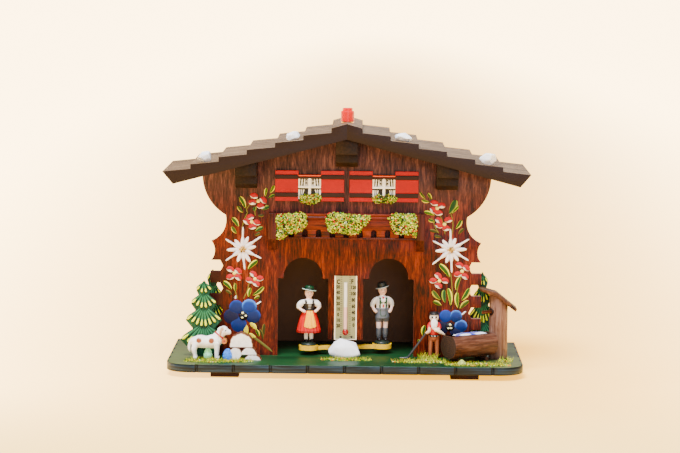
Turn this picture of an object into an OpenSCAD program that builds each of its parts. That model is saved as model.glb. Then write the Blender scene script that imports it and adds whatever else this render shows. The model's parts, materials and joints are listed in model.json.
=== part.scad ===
// Chalet weather house: a fretwork front with two doorways, and a beam with a man and a woman
// that hangs on a strand of gut and turns with the dampness of the air.
// Frame: origin at the middle of the underside, +Z up, +X to the viewer's right, front towards -Y.

/* [Base] */
// Width of the base plate
base_w = 194; // [186:1:220]
// Depth of the base plate, front to back
base_d = 96; // [92:1:120]
// Thickness of the base plate
base_t = 4.5; // [3.5:0.5:8]
// Radius of the two front corners
base_corner_r = 14; // [6:1:18]
// Spacing of the grooves along the front edge
groove_pitch = 20; // [14:1:30]
// Spacing of the grooves along the two side edges
side_groove_pitch = 16; // [12:1:24]
// Width of a V groove at the edge
groove_w = 1.8; // [1:0.2:3]
// Distance of the last side groove from the rear edge
groove_end = 6; // [3:0.5:10]
// Height of the two foot battens
foot_h = 3; // [2:0.5:8]
// Width of a foot batten
foot_w = 15.4; // [8:0.2:20]
// Distance of a foot batten's middle from the side edge of the base
foot_x = 32; // [22:0.5:47]
// Distance from the plate's edges to the ends of a batten
foot_setback = 5; // [3:0.5:12]

/* [House shell] */
// Depth of the base in front of the house
porch_d = 36; // [34:0.5:42]
// Thickness of the fretwork front
wall_t = 4; // [3:0.5:5]
// Half width of the front over its log ends
wall_half = 74.8; // [72:0.2:78]
// Half width of the front where it meets the roof
bell_half = 79.4; // [77:0.2:82]
// Radius of the swelling under the eaves
bell_r = 25.6; // [24:0.2:28]
// Half width of the front at its waist
waist_half = 66.2; // [65.5:0.2:68]
// Radius of the waist's hollow
waist_r = 12.5; // [11:0.5:14]
// Height of the middle of the waist above the floor
waist_h = 75; // [73:0.5:77]
// Height of the cusp above the waist
cusp_h = 77.8; // [76:0.2:79]
// Height of the cusp below the waist
lower_cusp_h = 63.4; // [62:0.2:65]
// Radius of the small scallop above the log ends
scallop_r = 8.3; // [7:0.1:10]
// Depth of the small scallop
scallop_depth = 2.4; // [1:0.1:3]
// Height of the top notch between the log ends
log_top_h = 52.8; // [50:0.2:56]
// Spacing of the log ends
log_pitch = 12.5; // [11:0.1:13]
// Height of a notch between two log ends
log_notch_h = 6.3; // [4:0.1:8]
// Depth of a notch to its straight part
log_notch_depth = 5.4; // [3:0.2:6]
// Further depth of the pointed end of a notch
log_notch_point = 1.6; // [0.6:0.2:2.5]
// Number of notches on each side
log_notches = 4; // [2:1:4]
// Thickness of the side walls
side_t = 4; // [3:0.5:6]
// Half width of the house over its side walls
side_half = 64; // [60:0.5:65]
// Thickness of the back
back_t = 3; // [2:0.5:5]
// Distance of the back from the rear edge of the base
back_inset = 1.5; // [0.5:0.5:4]
// Radius of the hanging hole in the back
hang_r = 4; // [3:0.5:6]
// Height of the hanging hole above the floor
hang_h = 100; // [70:1:104]

/* [Doorways] */
// Distance of a doorway from the middle
door_x = 23.6; // [23.2:0.1:25]
// Width of a doorway
door_w = 28; // [27:0.2:29]
// Height of a doorway up to its shoulders
door_h = 43; // [42:0.5:48]
// Radius of the arch over a doorway
arch_r = 10.9; // [9:0.1:12]
// Height of the arch's centre above the shoulders
arch_rise = 0.6; // [0.2:0.1:3]
// Height of the slot under the post between the doorways
slot_h = 9.2; // [8.6:0.2:12]

/* [Roof] */
// Half width of the roof
roof_half = 100.2; // [100.2:0.2:106]
// Slope of the roof's underside in degrees
roof_slope = 14.85; // [13:0.05:16]
// Height of the ridge's underside above the floor
ridge_h = 121.1; // [120:0.1:130]
// Overhang of the roof in front of the wall
roof_front = 18; // [15:0.5:22]
// Run of the bevel at the eaves
eave_bevel = 5.8; // [3:0.2:8]
// Height of the eaves' bevelled end
eave_h = 6.8; // [5.5:0.1:9]
// Number of shingle courses on each slope
course_n = 6; // [4:1:8]
// Slope of one shingle in degrees
course_slope = 6; // [3:0.5:8]
// Half width of the ridge course
ridge_half = 8.4; // [7:0.1:10]
// Slope of the ridge course in degrees
ridge_slope = 16; // [14:0.5:18]
// Number of saw cuts across the courses
kerf_n = 4; // [1:1:7]
// Width of a saw cut
kerf_w = 0.7; // [0.4:0.1:1.2]
// Depth of a saw cut
kerf_d = 0.7; // [0.3:0.1:1]
// Width of a purlin end
purlin_w = 12; // [8:0.5:14]
// Distance of the side purlins from the middle
purlin_x = 55; // [50:0.5:58]
// Length of a purlin end in front of the wall
purlin_l = 15; // [12:0.5:17]
// Height of a side purlin's end, up to the roof
purlin_h = 6.1; // [4:0.1:9]
// Height of a corbel under a purlin
corbel_h = 7.2; // [4:0.2:9]
// Length of a corbel in front of the wall
corbel_l = 8; // [5:0.5:11]
// Height of the ridge purlin's end, up to the ridge
ridge_purlin_h = 8.5; // [7:0.1:10]
// Distance of the roof's stones from its front edge
stone_inset = 9; // [6:0.5:14]

/* [Windows and balcony] */
// Distance of a window from the middle
window_x = 20.4; // [19.4:0.1:21]
// Width of a window
window_w = 12.4; // [10:0.2:12.6]
// Height of a window
window_h = 13; // [10:0.2:14]
// Height of a window's sill above the floor
window_sill_h = 87.2; // [86:0.2:88]
// Thickness of a window pane
pane_t = 0.6; // [0.4:0.1:1]
// Thickness of a window frame in front of its pane
frame_t = 0.7; // [0.4:0.1:1.2]
// Width of a window's bars
bar_w = 0.9; // [0.6:0.1:1.4]
// Width of a shutter
shutter_w = 12.7; // [11:0.1:12.9]
// Height of a shutter
shutter_h = 16.7; // [14:0.1:17]
// Height of a shutter's lower edge above the floor
shutter_sill_h = 86; // [84:0.2:87]
// Thickness of a shutter
shutter_t = 1.4; // [1:0.1:2]
// Width of a shutter's cross batten
batten_w = 1.9; // [1.2:0.1:2.6]
// Thickness of a shutter's cross batten
batten_t = 0.5; // [0.3:0.1:0.8]
// Distance of the battens from the ends of a shutter
batten_inset = 2.6; // [1:0.1:4]
// Half width of the balcony between its posts
balcony_half = 38.3; // [36:0.1:42]
// Depth of the balcony
balcony_d = 7; // [5:0.2:10]
// Height of the balcony's floor underside above the floor
balcony_h = 65.4; // [63:0.2:67]
// Thickness of the balcony's floor
balcony_floor_t = 1.2; // [0.8:0.1:2]
// Height of the balcony's front board
balcony_board_h = 10.1; // [9:0.1:12.2]
// Thickness of the balcony's front board
balcony_board_t = 1.6; // [1:0.1:2.5]
// Height of the balcony's rail
rail_h = 2.9; // [2:0.1:3.4]
// Depth of the balcony's rail
rail_d = 2.8; // [2:0.1:4]
// Depth of the groove along the rail
rail_groove = 0.5; // [0.3:0.1:0.8]
// Overhang of the rail in front of the board
rail_out = 0.6; // [0.2:0.1:1]
// Width of a balcony post
post_w = 4.5; // [3:0.1:6]
// Length of a balcony post below the floor
post_drop = 6.6; // [4:0.2:9]
// Overhang of a balcony post in front of the board
post_out = 0.8; // [0.4:0.1:1.4]
// Spacing of the arched cut-outs in the balcony's board
cutout_pitch = 7.55; // [6:0.05:9]
// Width of an arched cut-out
cutout_w = 3; // [1.5:0.1:4]
// Height of an arched cut-out
cutout_h = 4.3; // [2.5:0.1:6]
// Number of arched cut-outs
cutout_n = 9; // [3:2:9]
// Width of the moss under a window
window_moss_w = 11.4; // [8:0.2:12]
// Height of the moss under a window
window_moss_h = 5.6; // [4:0.2:7]
// Thickness of the moss under a window
window_moss_d = 2.2; // [1.4:0.1:3]
// Height of that moss's middle above the sill
window_moss_up = 0.3; // [0:0.1:1]
// Thickness of the moss on the balcony
moss_d = 3.4; // [2:0.1:4.4]
// Height of that moss above the balcony's board
moss_up = 2.6; // [0.4:0.1:2.9]
// Left clump of moss on the balcony: place, width and height
moss_left = [-30, 16.4, 13.6]; // [-34:0.2:34]
// Middle clump of moss on the balcony: place, width and height
moss_middle = [1, 23.4, 11]; // [-34:0.2:34]
// Right clump of moss on the balcony: place, width and height
moss_right = [30.4, 15, 12.4]; // [-34:0.2:34]

/* [Beam, gut and chimney] */
// Distance of the turning axis behind the front face of the wall
pivot_back = 8; // [7.5:0.1:9]
// Angle of the beam at rest, woman forward
beam_rest = 12; // [0:1:14]
// Distance of a figure from the turning axis
beam_r = 20.8; // [20.5:0.1:21.5]
// Radius of a figure's pad
pad_r = 5.4; // [4.6:0.1:5.5]
// Thickness of a pad
pad_t = 2.6; // [2:0.1:3]
// Width of the beam's lath
lath_w = 3.8; // [2.8:0.1:4.2]
// Thickness of the beam's lath
lath_t = 2; // [1.2:0.1:2.4]
// Radius of the beam's hub
hub_r = 3.2; // [2.6:0.1:4]
// Height of the beam's underside above the floor
beam_h = 2.9; // [2:0.1:3.4]
// Radius of the spindle under the gut
spindle_r = 1.2; // [0.9:0.1:1.3]
// Height of the spindle's top above the beam
spindle_h = 6.5; // [4:0.5:10]
// Radius of the gut strand
gut_r = 0.6; // [0.4:0.05:0.8]
// Outer radius of the two gut sleeves
sleeve_r = 1.7; // [1.3:0.1:2.2]
// Length of a gut sleeve
sleeve_l = 5; // [4:0.5:8]
// Closed end of a gut sleeve
sleeve_end = 1; // [0.6:0.1:1.6]
// Radius of the chimney's stem
stem_r = 1.5; // [1.2:0.1:1.9]
// Length of the stem below the block
stem_out = 3.6; // [2.5:0.1:5]
// Step of the collar outside the bush
collar_step = 0.8; // [0.4:0.1:1.5]
// Wall of the bushes
bush_wall = 0.8; // [0.5:0.1:1]
// Radius of the flange on the ridge bush
flange_r = 3.4; // [3.2:0.1:3.6]
// Thickness of that flange
flange_t = 0.5; // [0.3:0.1:0.8]
// Radius of the chimney
chimney_r = 3.7; // [3.6:0.1:4.5]
// Height of the chimney
chimney_h = 7.3; // [6:0.1:10]
// Height of the chimney's narrower top
chimney_top_h = 1.7; // [1:0.1:2.5]
// Step in at the chimney's narrower top
chimney_step = 0.9; // [0.4:0.1:1.2]
// Chamfer on the chimney's edges
chimney_chamfer = 0.4; // [0.2:0.1:0.6]
// Wall between the stem's end and the chimney's shoulder
chimney_cap = 1.5; // [1:0.1:2]
// Depth of the chimney's seat below the ridge
seat_drop = 0.8; // [0.5:0.1:1.2]
// Half width of the block under the ridge
block_half = 7; // [5:0.5:9]
// Depth of the block under the ridge
block_d = 12; // [9:0.5:16]
// Height of the block's underside above the floor
block_h = 107; // [100:0.5:110]
// Running clearance of a pin in its bush
run_gap = 0.05; // [0.02:0.01:0.08]
// Clearance of a piece that is fixed in its hole
fixed_gap = 0.03; // [0.02:0.01:0.06]
// Gap between faces that turn past each other
face_gap = 0.3; // [0.2:0.05:0.5]
// Gap under a round piece on its seat
seat_gap = 0.05; // [0.02:0.01:0.1]

/* [Thermometer] */
// Width of the thermometer's plate
plate_w = 12.4; // [9:0.2:16]
// Height of the thermometer's plate
plate_h = 35.5; // [33:0.5:38]
// Thickness of the thermometer's plate
plate_t = 0.8; // [0.5:0.1:1.2]
// Outer radius of the glass tube
tube_r = 1; // [0.8:0.1:1.3]
// Bore radius of the glass tube
tube_bore_r = 0.5; // [0.3:0.05:0.6]
// Outer radius of the bulb
bulb_r = 1.7; // [1.5:0.1:2]
// Height of the bulb's centre above the plate's lower edge
bulb_h = 4.4; // [3:0.1:7]
// Length of the tube above the bulb's centre
tube_l = 27.6; // [20:0.2:28]
// Length of the spirit column above the bulb's centre
spirit_l = 14; // [5:0.5:18]

/* [Figures] */
// Height of the woman over her hat
woman_h = 33.5; // [30:0.5:36]
// Height of the man over his hat
man_h = 34.9; // [30:0.1:37]
// Height of the farmer
farmer_h = 26; // [22:0.5:28]
// Radius of a figure's stand
stand_r = 4.2; // [3.6:0.1:4.6]
// Height of a figure's stand
stand_h = 1.9; // [1.6:0.1:2.2]
// Height of the stand's straight rim
stand_rim = 1.2; // [0.6:0.1:1.4]

/* [Garden] */
// Width of the white stone before the doorways
stone_w = 17.6; // [12:0.2:18]
// Depth of the white stone
stone_d = 8.6; // [6:0.2:9]
// Height of the white stone
stone_h = 10.8; // [7:0.2:11]
// Distance of the white stone's middle in front of the wall
stone_out = 5.6; // [5.4:0.1:6.5]
// Distance of the white stone from the middle, to the left
stone_shift = 0.3; // [0:0.1:1]
// Height of the front fir
fir_h = 42; // [34:1:46]
// Height of the two firs behind the log ends
back_fir_h = 47.2; // [40:0.2:50]
// Thickness of a fir
fir_t = 2; // [1.4:0.1:2.4]
// Half width of the front fir
fir_w = 13; // [10:0.5:14]
// Half width of a back fir
back_fir_w = 9.4; // [8:0.2:11]
// Distance of the front fir's stem from the side wall
fir_inset = 14; // [12:0.5:17]
// Distance of the front fir in front of the wall
fir_out = 6; // [5:0.2:8]
// Gap between the back firs and the walls and the well roof
fir_gap = 0.4; // [0.3:0.1:1]
// Further distance of the right back fir from the side wall
fir_step = 1.8; // [0:0.2:4]
// Length of the dog's back
dog_l = 10; // [8:0.5:11]
// Height of the dog's back
dog_h = 13.4; // [11:0.2:15]
// Distance of the dog's middle beyond the log ends
dog_beyond = 1.2; // [0:0.2:3]
// Distance of the dog and the woodpile in front of the wall
dog_out = 15; // [13:0.5:17]
// Radius of the dog's keg
keg_r = 1.8; // [1.4:0.1:2.2]
// Length of the dog's keg
keg_l = 4.6; // [3.6:0.2:5.6]
// Distance of the woodpile from the dog
pile_step = 20; // [19:0.5:23]
// Height of the woodpile
pile_h = 14.6; // [12:0.2:16]
// Height of the woodpile's middle layer
pile_mid_h = 6.9; // [6:0.1:6.9]
// Height of the woodpile's lowest log
pile_low_h = 2.9; // [2:0.1:3.4]
// Gap between two logs of the pile
pile_gap = 0.1; // [0.05:0.05:0.2]
// Length of the split logs
log_l = 9; // [6:0.5:10]
// Radius of the trough log
trough_r = 6.9; // [6:0.1:7]
// Length of the trough log
trough_l = 29.5; // [25:0.5:31]
// Turn of the trough from the width of the base in degrees
trough_turn = 36; // [34:1:40]
// Width of the trough's hollow
hollow_w = 7; // [4:0.2:7]
// Depth of the trough's hollow
hollow_d = 3.4; // [2:0.2:4]
// Height of the slice cut off along the top of the trough log
trough_slice = 1.1; // [1.1:0.1:2.6]
// Wall at each end of the trough's hollow
trough_end_wall = 2.4; // [1.6:0.1:4]
// Depth of the water below the trough's rim
water_drop = 0.4; // [0.2:0.1:1]
// Gap between the trough's end and the well post
trough_gap = 0.12; // [0.1:0.01:0.5]
// Diameter of the trough's bearers
bearer_d = 2.2; // [1.6:0.1:3]
// Length of a trough bearer
bearer_l = 9; // [7:0.5:11]
// Distance of the bearers from the ends of the trough
bearer_inset = 6; // [4:0.5:9]
// Distance of the well post's middle beyond the log ends
well_beyond = 9.5; // [8.5:0.1:11]
// Distance of the well post's middle in front of the wall's front face
well_out = 2; // [1.7:0.1:3.4]
// Radius of the well post
well_r = 5.1; // [4:0.1:5.3]
// Height of the well roof's bend above the floor
well_h = 34.7; // [30:0.1:40]
// Thickness of the well roof
well_roof_t = 2; // [1.4:0.1:2.6]
// Depth of the well roof
well_roof_d = 12; // [9:0.5:12]
// Left edge of the well roof's underside, from the post's middle and the bend's height
well_left = [-10.6, 3.3]; // [-12:0.1:12]
// Bend of the well roof's underside, from the same point
well_bend = [-1.6, 0]; // [-12:0.1:12]
// Right edge of the well roof's underside, from the same point
well_right = [9.2, -8]; // [-12:0.1:12]
// Radius of the spout
spout_r = 0.9; // [0.6:0.1:1.3]
// Length of the spout in front of the post
spout_l = 6; // [4:0.5:7]
// Height of the spout above the floor
spout_h = 26.3; // [24:0.1:28]
// Length of the spout inside the post
spout_depth = 2; // [1:0.5:3]
// Distance of the farmer from the middle
farmer_x = 48.8; // [46:0.2:50]
// Distance of the farmer in front of the wall
farmer_out = 5.5; // [5:0.1:7]
// Depth of a tuft of grass
tuft_d = 7.6; // [3:0.2:8]
// Height of a tuft of grass
tuft_h = 1.6; // [1:0.1:2.4]

/* [Hidden] */
$fn = 64;
// Overshoot of a cut past the faces that it opens
cut = 1;

floor_z = foot_h + base_t;
wall_y = porch_d - base_d / 2;
wall_back_y = wall_y + wall_t;
rear_y = base_d / 2;
back_y = rear_y - back_inset - back_t;
pivot_y = wall_y + pivot_back;
slope_k = tan(roof_slope);
function under_z(x) = floor_z + ridge_h - abs(x) * slope_k;

// Roof courses: every shingle starts a step above the one below it
eave_z = under_z(roof_half - eave_bevel) + eave_h;
course_run = (roof_half - ridge_half) / course_n;
function course_x(i) = roof_half - i * course_run;
function course_z(i) = eave_z + i * course_run * slope_k;
ridge_z = course_z(course_n) + ridge_half * tan(ridge_slope);
seat_z = ridge_z - seat_drop;
roof_y = wall_y - roof_front;

// Turning axis, from the base up to the chimney
bush_r = stem_r + run_gap + bush_wall;
beam_z = floor_z + beam_h;
pad_top_z = beam_z + pad_t;
spindle_top_z = pad_top_z + spindle_h;
block_z = floor_z + block_h;
chimney_z = seat_z + flange_t + face_gap;
stem_end_z = block_z - stem_out;
sleeve_bore_l = sleeve_l - sleeve_end;

balcony_z = floor_z + balcony_h;
balcony_board_z = balcony_z + balcony_floor_t;
balcony_top_z = balcony_board_z + balcony_board_h + rail_h;
balcony_y = wall_y - balcony_d;

// Thermometer, from the slot under it up
plate_z = floor_z + slot_h;
bulb_z = plate_z + bulb_h;
tube_y = wall_y - plate_t - tube_r - seat_gap;

// Garden: the well and the dog stand beside the log ends, the trough runs up to the well
well_pos = [wall_half + well_beyond, wall_y - well_out];
trough_dir = [cos(trough_turn), sin(trough_turn)];
trough_mid = well_pos - (well_r + trough_gap + trough_l / 2) * trough_dir;
trough_z = floor_z + bearer_d + trough_r + seat_gap;
trough_rim = trough_r - trough_slice;
hollow_l = trough_l - 2 * trough_end_wall;
stone_pos = [-stone_shift, wall_y - stone_out];
dog_pos = [-wall_half - dog_beyond, wall_y - dog_out];
pile_pos = dog_pos + [pile_step, 0];
farmer_pos = [farmer_x, wall_y - farmer_out];
back_fir_x = side_half + back_fir_w + fir_gap;
back_fir_y = max(wall_back_y, well_pos.y + well_roof_d / 2) + fir_gap;

// Heights at which the carved figures' points are drawn
woman_drawn_h = 33.5;
man_drawn_h = 34.9;
farmer_k = farmer_h / 26;

// A plate in the XZ plane between y and y + t
module plate_xz(y, t) {
    translate([0, y + t, 0]) rotate([90, 0, 0]) linear_extrude(t) children();
}

module both_sides() {
    children();
    mirror([1, 0, 0]) children();
}

// A rounded lump on a flat underside; its girth swings in and out with the wave
module lump(w, d, h, sides = 14, rings = 5, wave = 0.08, beat = 3, square = 2) {
    function corner(a) = pow(pow(abs(cos(a)), square) + pow(abs(sin(a)), square), -1 / square);
    function girth(a, k) = corner(a) * (1 - wave / 2 + wave / 2 * sin(beat * a + 50 * k));
    pts = [
        for (k = [0 : rings - 1], j = [0 : sides - 1])
            let (a = 360 * j / sides, up = 90 * k / rings, g = girth(a, k) * cos(up))
                [w / 2 * g * cos(a), d / 2 * g * sin(a), h * sin(up)],
        [0, 0, h]
    ];
    function at(k, j) = k * sides + j % sides;
    sides_of = [
        for (k = [0 : rings - 2], j = [0 : sides - 1], half = [0, 1])
            half == 0 ? [at(k, j), at(k + 1, j), at(k + 1, j + 1)]
                      : [at(k, j), at(k + 1, j + 1), at(k, j + 1)]
    ];
    cap = [for (j = [0 : sides - 1]) [at(rings - 1, j), rings * sides, at(rings - 1, j + 1)]];
    foot = [[for (j = [0 : sides - 1]) j]];
    polyhedron(points = pts, faces = concat(sides_of, cap, foot));
}

// A limb from one point to another with round ends
module limb(a, b, ra, rb) {
    hull() {
        translate(a) sphere(ra, $fn = 10);
        translate(b) sphere(rb, $fn = 10);
    }
}

// Base

module base_outline() {
    corner = [base_w / 2 - base_corner_r, base_corner_r - base_d / 2];
    arc = [for (a = [-90 : 7.5 : 0]) corner + base_corner_r * [cos(a), sin(a)]];
    rear = [[base_w / 2, rear_y], [-base_w / 2, rear_y]];
    polygon(concat(arc, rear, [for (i = [len(arc) - 1 : -1 : 0]) [-arc[i].x, arc[i].y]]));
}

module groove_at(x, y) {
    translate([x, y, foot_h - cut]) cylinder(r = groove_w / 2, h = base_t + 2 * cut, $fn = 4);
}

module base_plate() {
    front_n = floor((base_w / 2 - base_corner_r) / groove_pitch);
    side_n = floor((base_d - base_corner_r - groove_end) / side_groove_pitch);
    color("darkslategray") difference() {
        translate([0, 0, foot_h]) linear_extrude(base_t) base_outline();
        for (i = [-front_n : front_n]) groove_at(i * groove_pitch, -base_d / 2);
        both_sides() for (i = [0 : side_n]) {
            groove_at(base_w / 2, rear_y - groove_end - i * side_groove_pitch);
        }
    }
}

module foot_batten(side) {
    x = side * (base_w / 2 - foot_x);
    color("peru") translate([x - foot_w / 2, foot_setback - base_d / 2, 0]) {
        cube([foot_w, base_d - 2 * foot_setback, foot_h]);
    }
}

// House shell

module log_end_cuts() {
    reach = bell_half + cut;
    log_z = floor_z + log_top_h;
    translate([wall_half, floor_z - cut]) square([reach - wall_half, log_top_h + cut]);
    for (i = [0 : log_notches - 1]) {
        top = log_z - i * log_pitch;
        inner = wall_half - log_notch_depth;
        polygon([
            [reach, top], [inner, top], [inner - log_notch_point, top - log_notch_h / 2],
            [inner, top - log_notch_h], [reach, top - log_notch_h]
        ]);
    }
}

module side_profile_cuts() {
    reach = bell_half + cut;
    bell_z = under_z(bell_half);
    difference() {
        translate([bell_half - bell_r, floor_z + cusp_h]) square([bell_r + cut, bell_z - floor_z - cusp_h]);
        translate([bell_half - bell_r, bell_z]) circle(bell_r);
    }
    intersection() {
        translate([waist_half + waist_r, floor_z + waist_h]) circle(waist_r);
        translate([0, floor_z + lower_cusp_h]) square([2 * reach, cusp_h - lower_cusp_h]);
    }
    intersection() {
        scallop_z = floor_z + (lower_cusp_h + log_top_h) / 2;
        translate([wall_half - scallop_depth + scallop_r, scallop_z]) circle(scallop_r);
        translate([0, floor_z + log_top_h]) square([2 * reach, lower_cusp_h - log_top_h]);
    }
    log_end_cuts();
}

module doorway() {
    translate([door_x - door_w / 2, floor_z - cut]) square([door_w, door_h + cut]);
    translate([door_x, floor_z + door_h + arch_rise]) circle(arch_r);
}

module front_wall() {
    color("saddlebrown") plate_xz(wall_y, wall_t) difference() {
        polygon([
            [-bell_half, floor_z], [bell_half, floor_z], [bell_half, under_z(bell_half)],
            [0, under_z(0)], [-bell_half, under_z(bell_half)]
        ]);
        both_sides() side_profile_cuts();
        both_sides() doorway();
        translate([-door_x, floor_z - cut]) square([2 * door_x, slot_h + cut]);
    }
}

module side_wall(side) {
    inner = side_half - side_t;
    color("sienna") plate_xz(wall_back_y, back_y - wall_back_y) polygon([
        [side * inner, floor_z], [side * side_half, floor_z],
        [side * side_half, under_z(side_half)], [side * inner, under_z(inner)]
    ]);
}

module back_wall() {
    color("sienna") difference() {
        plate_xz(back_y, back_t) polygon([
            [-side_half, floor_z], [side_half, floor_z], [side_half, under_z(side_half)],
            [0, under_z(0)], [-side_half, under_z(side_half)]
        ]);
        translate([0, back_y - cut, floor_z + hang_h]) rotate([-90, 0, 0]) {
            cylinder(r = hang_r, h = back_t + 2 * cut);
        }
    }
}

// Roof

function course_tops(drop) = [
    for (i = [0 : course_n - 1], inner = [0, 1])
        [course_x(i + inner), course_z(i) + inner * course_run * tan(course_slope) - drop],
    [ridge_half, course_z(course_n) - drop],
    [0, ridge_z - drop]
];

module roof_half_slab() {
    depth = rear_y - roof_y;
    shingle = depth / (kerf_n + 1);
    eave_x = roof_half - eave_bevel;
    difference() {
        plate_xz(roof_y, depth) polygon(concat(
            [[0, under_z(0)], [eave_x, under_z(eave_x)]], course_tops(0)
        ));
        for (i = [1 : kerf_n]) {
            plate_xz(roof_y + i * shingle - kerf_w / 2, kerf_w) polygon(concat(
                [[roof_half + cut, ridge_z + cut], [roof_half + cut, eave_z - kerf_d]],
                course_tops(kerf_d), [[0, ridge_z + cut]]
            ));
        }
        translate([0, pivot_y, floor_z]) cylinder(r = bush_r + fixed_gap, h = ridge_z);
        translate([0, pivot_y, seat_z]) cylinder(r = chimney_r + face_gap, h = ridge_z);
    }
}

module roof_right() { color("tan") roof_half_slab(); }

module roof_left() { color("tan") mirror([1, 0, 0]) roof_half_slab(); }

// A purlin's end hangs under the roof
module purlin(x, h) {
    inner = x - purlin_w / 2;
    outer = x + purlin_w / 2;
    low = under_z(x) - h;
    ridge = inner * outer < 0 ? [[0, under_z(0)]] : [];
    color("#4a3428") plate_xz(wall_y - purlin_l, purlin_l) polygon(concat(
        [[inner, low], [outer, low], [outer, under_z(outer)]], ridge, [[inner, under_z(inner)]]
    ));
}

// A corbel carries the purlin's end of height h above it
module corbel(x, h) {
    nose = corbel_h / 3;
    low = under_z(x) - h - corbel_h;
    color("#38251c") translate([x - purlin_w / 2, wall_y, low]) rotate([90, 0, 90]) {
        linear_extrude(purlin_w) polygon([
            [0, 0], [0, corbel_h], [-corbel_l, corbel_h], [-corbel_l, nose], [nose - corbel_l, 0]
        ]);
    }
}

module ridge_block() {
    color("peru") difference() {
        plate_xz(wall_back_y, block_d) polygon([
            [-block_half, block_z], [block_half, block_z], [block_half, under_z(block_half)],
            [0, under_z(0)], [-block_half, under_z(block_half)]
        ]);
        translate([0, pivot_y, block_z - cut]) cylinder(r = bush_r + fixed_gap, h = ridge_z - block_z);
    }
}

module ridge_bush() {
    color("goldenrod") translate([0, pivot_y, 0]) difference() {
        union() {
            translate([0, 0, block_z]) cylinder(r = bush_r, h = seat_z + flange_t - block_z);
            translate([0, 0, seat_z]) cylinder(r = flange_r, h = flange_t);
        }
        translate([0, 0, block_z - cut]) {
            cylinder(r = stem_r + run_gap, h = seat_z + flange_t - block_z + 2 * cut);
        }
    }
}

// A stone lies on a course of the roof, near its front edge
module roof_stone(side, course, along, size) {
    x = course_x(course) - along;
    z = course_z(course) + along * tan(course_slope);
    translate([side * x, roof_y + stone_inset, z]) rotate([0, side * course_slope, 0]) {
        translate([0, 0, fixed_gap]) lump(size.x, size.y, size.z, sides = 12, rings = 4, wave = 0.2);
    }
}

module roof_stones() {
    color("white") {
        roof_stone(side = -1, course = 1, along = 7.2, size = [9.6, 7.4, 5.6]);
        roof_stone(side = -1, course = 4, along = 9.8, size = [9, 7.4, 4.8]);
        roof_stone(side = 1, course = 4, along = 9, size = [11, 7, 4.8]);
        roof_stone(side = 1, course = 1, along = 7.9, size = [10.4, 8, 7]);
    }
}

// Windows, shutters and balcony

module window_panes() {
    color("#2a2624") plate_xz(wall_y - pane_t, pane_t) for (side = [-1, 1]) {
        translate([side * window_x - window_w / 2, floor_z + window_sill_h]) square([window_w, window_h]);
    }
}

module window_frames() {
    clear_w = (window_w - 3 * bar_w) / 2;
    clear_h = (window_h - 3 * bar_w) / 2;
    color("white") plate_xz(wall_y - pane_t - frame_t, frame_t) for (side = [-1, 1]) {
        translate([side * window_x - window_w / 2, floor_z + window_sill_h]) difference() {
            square([window_w, window_h]);
            for (i = [0, 1], j = [0, 1]) {
                translate([bar_w + i * (clear_w + bar_w), bar_w + j * (clear_h + bar_w)]) {
                    square([clear_w, clear_h]);
                }
            }
        }
    }
}

// Middle of a shutter beside a window
function shutter_x(side, hand) = side * window_x + hand * (window_w + shutter_w) / 2;

module shutters(side) {
    color("firebrick") plate_xz(wall_y - shutter_t, shutter_t) for (hand = [-1, 1]) {
        translate([shutter_x(side, hand) - shutter_w / 2 + fixed_gap, floor_z + shutter_sill_h]) {
            square([shutter_w - 2 * fixed_gap, shutter_h]);
        }
    }
}

module shutter_battens() {
    low = floor_z + shutter_sill_h + batten_inset;
    high = floor_z + shutter_sill_h + shutter_h - batten_inset - batten_w;
    color("#4a2018") plate_xz(wall_y - shutter_t - batten_t, batten_t) {
        for (side = [-1, 1], hand = [-1, 1], z = [low, high]) {
            translate([shutter_x(side, hand) - shutter_w / 2 + fixed_gap, z]) {
                square([shutter_w - 2 * fixed_gap, batten_w]);
            }
        }
    }
}

// Moss clings to an upright face at y, with its flat side towards the house
module moss(x, z, y, w, h, d) {
    color("olivedrab") translate([x, y, z]) rotate([90, 0, 0]) {
        lump(w, h, d, sides = 18, rings = 4, wave = 0.16, beat = 5, square = 3);
    }
}

module window_moss() {
    face_y = wall_y - pane_t - frame_t;
    z = floor_z + window_sill_h + window_moss_up;
    for (side = [-1, 1]) moss(side * window_x, z, face_y, window_moss_w, window_moss_h, window_moss_d);
}

module balcony_floor() {
    color("chocolate") translate([-balcony_half, balcony_y, balcony_z]) {
        cube([2 * balcony_half, balcony_d, balcony_floor_t]);
    }
}

module balcony_board() {
    first = -(cutout_n - 1) / 2;
    color("chocolate") plate_xz(balcony_y, balcony_board_t) difference() {
        translate([-balcony_half, balcony_board_z]) square([2 * balcony_half, balcony_board_h]);
        for (i = [0 : cutout_n - 1]) translate([(first + i) * cutout_pitch, balcony_board_z]) {
            translate([-cutout_w / 2, -cut]) square([cutout_w, cutout_h - cutout_w / 2 + cut]);
            translate([0, cutout_h - cutout_w / 2]) circle(cutout_w / 2);
        }
    }
}

// The rail is a moulding with a groove along its front
module balcony_rail() {
    middle = rail_h / 2;
    color("chocolate") translate([-balcony_half, balcony_y - rail_out, balcony_board_z + balcony_board_h]) {
        rotate([90, 0, 90]) linear_extrude(2 * balcony_half) polygon([
            [0, 0], [rail_d, 0], [rail_d, rail_h], [0, rail_h],
            [0, middle + rail_groove], [rail_groove, middle], [0, middle - rail_groove]
        ]);
    }
}

module balcony_post(side) {
    near = balcony_d + post_out;
    x = side * (balcony_half + post_w / 2) - post_w / 2;
    color("sienna") translate([x, wall_y, 0]) rotate([90, 0, 90]) {
        linear_extrude(post_w) polygon([
            [0, balcony_z - post_drop], [0, balcony_top_z], [-near, balcony_top_z],
            [-near, balcony_z], [-near / 2, balcony_z - post_drop]
        ]);
    }
}

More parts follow.
